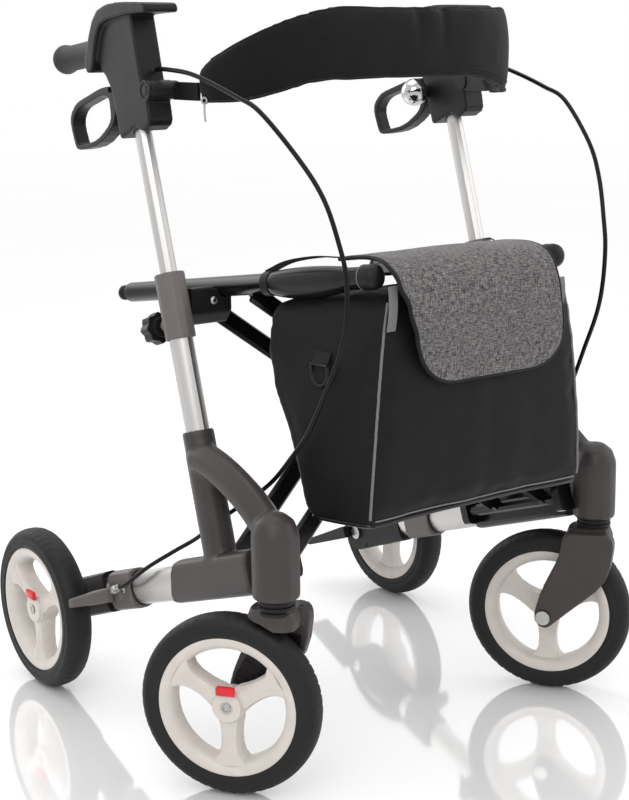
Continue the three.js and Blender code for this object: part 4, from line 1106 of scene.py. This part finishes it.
band_skin = skin_of(band)
edge = [band_point(k / 80, 0.03, 1) for k in range(1, 80)]
flattens(piece("band_piping", tube(laid_on(band_skin, edge, 0.8), 2.0, 10), webbing, None),
    "right_backrest")
seam = [band_point(k / 80, 0.13, 1) for k in range(1, 80)]
flattens(piece("band_seam", tube(laid_on(band_skin, seam, 0.1), 0.7, 6), band_knit, None),
    "right_backrest")
top_seam = [band_point(k / 80, 0.985, 1) for k in range(3, 78)]
flattens(piece("band_top_seam", tube(laid_on(band_skin, top_seam, 0.2), 0.9, 6), webbing, None), "right_backrest")
puller = joined(turned([(2.2, -1), (4.2, -1), (4.2, 1), (2.2, 1)], (-207, -52, 724), (1, 0.4, 0), 20,
    closed=True), tube([(-208, -53, 722), (-209, -54, 712), (-208, -54, 702)], 1.1, 8))
flattens(piece("band_zip_puller", puller, zinc_plate, None), "right_backrest")
print("band edge", round(sum((b - a).length for a, b in zip(edge, edge[1:]))), "mm")

# %% [markdown]
# The bag is sewn from woven polyester: a front panel, two wedge-shaped sides and a bottom. It is
# lofted upwards from rounded rectangles, wide and shallow at the bottom, narrower and deeper at
# the top. The front and sides belly out a little between their seams, and the back is drawn
# in, clear of the brace. Slow noise gives the soft dents of an empty bag.

# %% bag body
BAG_LEVELS = [  # height, front Y, back Y, half width at the front, half width at the back
    (288, -248, -184, 145, 168), (292, -252, -176, 149, 173), (302, -255, -168, 151, 175),
    (340, -257, -155, 149, 176), (380, -258, -138, 146, 175),
    (420, -258, -116, 142, 174), (460, -257, -100, 137, 170), (495, -255, -93, 131, 162),
    (513, -253, -90, 126, 156), (524, -249, -94, 121, 150), (529, -240, -104, 113, 138)]
FRONT_POINTS, SIDE_POINTS, CORNER_POINTS = 36, 18, 6
BACK_DISH, SHOULDER_DROP, SHOULDER_START = 22, 20, 0.8


def bag_level(height):
    for low, high in zip(BAG_LEVELS, BAG_LEVELS[1:]):
        if height <= high[0]:
            t = (height - low[0]) / (high[0] - low[0])
            return [a + (b - a) * t for a, b in zip(low, high)]
    return list(BAG_LEVELS[-1])


def shoulder_drop(y, rise):
    """The top slopes down to the back, so that it stays clear of the seat and the rails."""
    return SHOULDER_DROP * max(0.0, (y + 200) / 120) * max(0.0,
        (rise - SHOULDER_START) / (1 - SHOULDER_START))


def bag_ring(height, rise):
    z, front, back, wide_front, wide_back = bag_level(height)
    corners = [(-wide_front, front), (wide_front, front), (wide_back, back), (-wide_back, back)]
    radii, counts = [5, 5, 9, 9], [FRONT_POINTS, SIDE_POINTS, FRONT_POINTS, SIDE_POINTS]
    ring = []
    for i in range(4):
        here, after = Vector(corners[i]), Vector(corners[(i + 1) % 4])
        ahead = (after - here).normalized()
        start, end = here + ahead * radii[i], after - ahead * radii[(i + 1) % 4]
        out = Vector((ahead.y, -ahead.x))
        for k in range(counts[i] + 1):
            t = k / counts[i]
            belly = math.sin(math.pi * t) * math.sin(math.pi * rise) * (4.5 if i == 0 else 6)
            if i == 2:
                belly = -BACK_DISH * min(1, 7 * t, 7 * (1 - t)) * math.sin(math.pi * rise) ** 0.4
            p = start.lerp(end, t) + out * belly
            dent = 2.2 * noise.noise(Vector((p.x * 0.018, p.y * 0.02,
                z * 0.012 + i))) + 0.8 * noise.noise(Vector((p.x * 0.05, p.y * 0.05, z * 0.04 + i * 3)))
            p += out * dent * math.sin(math.pi * t)
            ring.append((p.x, p.y, z - shoulder_drop(p.y, rise)))
        following = (Vector(corners[(i + 2) % 4]) - after).normalized()
        begin, finish_at = end, after + following * radii[(i + 1) % 4]
        for k in range(1, CORNER_POINTS):
            t = k / CORNER_POINTS
            p = (1 - t) ** 2 * begin + 2 * t * (1 - t) * after + t * t * finish_at
            ring.append((p.x, p.y, z - shoulder_drop(p.y, rise)))
    return ring


BAG_RINGS = 44
bag_heights = [BAG_LEVELS[0][0] + (BAG_LEVELS[-1][0] - BAG_LEVELS[0][0]) * i / BAG_RINGS
    for i in range(BAG_RINGS + 1)]
bag = piece("bag_shell", loft([bag_ring(h, i / BAG_RINGS) for i, h in enumerate(bag_heights)]),
    woven_polyester, None, ["bag"], sharp=70)
swollen(bag, 4.5, 1.0, 3.0)
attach(bag, "bag_body")
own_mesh(bag)
bag_skin = skin_of(bag)
print("bag", [round(v / MM) for v in bag.dimensions], "mm,", len(bag.data.vertices), "points")

# %% [markdown]
# Grey reflective piping runs down both front edges and along the bottom seam. A webbing tab
# holds a D-ring on the side, and two plain pull tags hang from the zip under the flap.

# %% bag trimmings
def on_bag(thing):
    return flattens(thing, "bag_body")


PIPING_FOOT, PIPING_TOP, PIPING_STEPS = 300, 522, 39
TAB_AT, TAB_HALF, TAB_THICK = (175, -192), 11, 1.6
RING_HEIGHT, RING_WIDE, RING_TALL, RING_BAR = 451, 14, 15, 7


def corner_line(sign):
    """The front edge of the bag on one side, from bottom to top."""
    line = []
    for i in range(PIPING_STEPS + 1):
        height = PIPING_FOOT + (PIPING_TOP - PIPING_FOOT) * i / PIPING_STEPS
        z, front, _, wide_front, _ = bag_level(height)
        line.append((sign * (wide_front - 1.0), front + 1.0, z))
    return line


def d_ring(sign):
    """A half hoop closed by a straight bar at the top."""
    middle = laid_on(bag_skin, [(sign * TAB_AT[0], TAB_AT[1], RING_HEIGHT)], 3.2)[0]
    turns = [math.pi * (1 + k / 14) for k in range(15)]
    hoop = [middle + Vector((0, RING_WIDE * math.cos(a), RING_TALL * math.sin(a))) for a in turns]
    up_to_bar = Vector((0, 0, RING_BAR))
    return tube([hoop[0] + up_to_bar, *hoop, hoop[-1] + up_to_bar, hoop[0] + up_to_bar * 1.03], 2.3, 10)


def ring_tab(sign):
    """A short webbing strap that lifts off the bag towards the ring."""
    through = Vector((sign * TAB_THICK, 0, 0))
    rings = []
    for z, lift in [(474, 0.8), (468, 1.4), (463, 2.6), (459, 5.0)]:
        places = [(sign * TAB_AT[0], TAB_AT[1] + dy, z) for dy in (-TAB_HALF, TAB_HALF)]
        rear, front = [laid_on(bag_skin, [place], lift)[0] for place in places]
        rings.append([rear, front, front + through, rear + through])
    return loft(rings)


for side, sign in SIDES.items():
    piping = tube(laid_on(bag_skin, corner_line(sign), 0.9), 1.5, 8)
    on_bag(piece(f"{side}_bag_piping", piping, reflective_piping, None))
    on_bag(piece(f"{side}_bag_ring", d_ring(sign), black_moulding, None))
    on_bag(rounded(piece(f"{side}_bag_tab", ring_tab(sign), webbing, None), 0.5))

bottom_front = [(x * 4.8 - 144, -256, 297) for x in range(61)]
piping = tube(laid_on(bag_skin, bottom_front, 0.6), 0.9, 8)
on_bag(piece("bag_bottom_piping", piping, reflective_piping, None))
around = bag_ring(291, 0.02)
binding = tube(laid_on(bag_skin, around[::2] + around[:1], 0.5), 2.4, 8)
on_bag(piece("bag_bottom_binding", binding, black_enamel, None))

TAG_HALF, TAG_THICK, TAG_STEPS = 5.5, 1.4, 8


def pull_tag(x, y, z, long):
    """A strip that hangs from the zip, bowed forwards a little and leaning outwards."""
    rings = []
    for k in range(TAG_STEPS + 1):
        t = k / TAG_STEPS
        middle_x = x - (538 - z + t * long) * 0.05
        face_y = y - 2 - 2.5 * math.sin(math.pi * t)
        corners = [(-TAG_HALF, 0), (TAG_HALF, 0), (TAG_HALF, TAG_THICK), (-TAG_HALF, TAG_THICK)]
        rings.append([(middle_x + dx, face_y + thick, z - t * long) for dx, thick in corners])
    return loft(rings)


for name, x, y, z, long in [("bag_tag_right", -124, -259, 541, 46), ("bag_tag_left", 116, -256, 528, 34)]:
    on_bag(rounded(piece(name, pull_tag(x, y, z, long), reflective_piping, None), 0.4))
print("bag trimmings placed")

# %% [markdown]
# The flap is a lightly padded cover in melange cloth with a black bound edge. It starts behind
# the bag's top, rolls over the front and hangs down with two round corners. Its rows follow a
# smooth curve seen from the side, and its two edges are given as the real ones run.

# %% bag flap
FLAP_PATH = smooth_path([(0, -150, 556), (0, -180, 561), (0, -215, 563.5), (0, -245, 560.5),
    (0, -262, 548), (0, -270, 527), (0, -272.5, 495), (0, -272, 465), (0, -270, 436)], 10)
flap_run = [0.0]
for a, b in zip(FLAP_PATH, FLAP_PATH[1:]):
    flap_run.append(flap_run[-1] + (b - a).length)
FLAP_LENGTH = flap_run[-1]
FLAP_LEFT = [(0, -106), (60, -112), (105, -121), (125, -119), (150, -110), (180, -102), (210, -98),
    (FLAP_LENGTH, -96)]
FLAP_RIGHT = [(0, 106), (60, 104), (105, 98), (125, 98), (150, 100), (180, 103), (210, 107),
    (FLAP_LENGTH, 108)]
FLAP_THICK, FLAP_PUFF, FLAP_CORNER = 2.4, 1.8, 46


def between(table, x):
    for (x0, y0), (x1, y1) in zip(table, table[1:]):
        if x <= x1:
            t = (x - x0) / (x1 - x0)
            return y0 + (y1 - y0) * t * t * (3 - 2 * t)
    return table[-1][1]


def flap_point(u, w, lift):
    corner = max(0.0, (abs(2 * u - 1) - 0.52) / 0.48)
    run = w * (FLAP_LENGTH - FLAP_CORNER * (1 - math.sqrt(max(0.0, 1 - corner ** 2.2))))
    i = max(1, next((k for k, s in enumerate(flap_run) if s >= run), len(flap_run) - 1))
    t = (run - flap_run[i - 1]) / (flap_run[i] - flap_run[i - 1])
    at = FLAP_PATH[i - 1].lerp(FLAP_PATH[i], t)
    along = (FLAP_PATH[i] - FLAP_PATH[i - 1]).normalized()
    out = Vector((0, along.z, -along.y))
    x = between(FLAP_LEFT, run) * (1 - u) + between(FLAP_RIGHT, run) * u
    puff = FLAP_PUFF * math.sin(math.pi * u) ** 0.5 * math.sin(math.pi * min(1, w * 1.02)) ** 0.5
    wave = 1.3 * noise.noise(Vector((x * 0.02, run * 0.016, 4.2))) + 0.5 * noise.noise(Vector((x * 0.06,
        run * 0.05, 1.7)))
    return Vector((x, at.y, at.z)) + out * (lift * (FLAP_THICK + puff) + wave)


ROWS, COLUMNS = 64, 44
flap_rings = []
for i in range(ROWS + 1):
    row = [k / COLUMNS for k in range(COLUMNS + 1)]
    flap_rings.append([flap_point(u, i / ROWS, 1) for u in row]
        + [flap_point(u, i / ROWS, -0.6) for u in reversed(row)])
flap = piece("flap_panel", loft(flap_rings), melange, None, ["bag_flap"], sharp=60)
flattens(flap, "bag_lid")
border = [flap_point(0, k / 50, 0.2) for k in range(0, 50)] + [flap_point(k / 60, 1, 0.2)
    for k in range(0, 61)] + [flap_point(1, k / 50, 0.2) for k in range(49, -1, -1)]
flattens(piece("flap_binding", tube(border, 2.3, 10), webbing, None), "bag_lid")
print("flap cut", round(FLAP_LENGTH), "by 215 mm")

# %% [markdown]
# The seat is one sheet of woven polyester stretched between the rails. Its sides wrap round the
# tubes in sleeves and its front and back edges are hemmed with webbing. It sags 12 mm in
# the middle.

# %% seat
SEAT_REAR, SEAT_FRONT, SEAT_SAG = 62, -140, 12


def seat_point(u, w, lift):
    y = SEAT_REAR + (SEAT_FRONT - SEAT_REAR) * w
    rail = rail_at(y)
    x = (rail.x - 6) * (2 * u - 1)
    sag = SEAT_SAG * (1 - (2 * u - 1) ** 2)
    ripple = 0.7 * noise.noise(Vector((x * 0.03, y * 0.03, 7.0)))
    return Vector((x, y, rail.z + 9 - sag + lift + ripple))


seat_rows, seat_columns = 36, 44
seat_rings = []
for i in range(seat_rows + 1):
    row = [k / seat_columns for k in range(seat_columns + 1)]
    seat_rings.append([seat_point(u, i / seat_rows, 1.2) for u in row]
        + [seat_point(u, i / seat_rows, -1.2) for u in reversed(row)])
seat = piece("seat_sheet", loft(seat_rings), woven_polyester, None, ["seat"], sharp=60)
hems = {}
for name, w in [("seat_hem_rear", 0.02), ("seat_hem_front", 0.98)]:
    hems[name] = piece(name, tube([seat_point(k / 40, w, 0) for k in range(41)], 2.6, 8, flat=0.8),
        webbing, None)
across = [sum(((seat_point((k + 1) / 40, w, 0) - seat_point(k / 40, w, 0)).length for k in range(40)))
    for w in (0, 0.5, 1)]
for part in [seat, *hems.values()]:
    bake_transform(part)
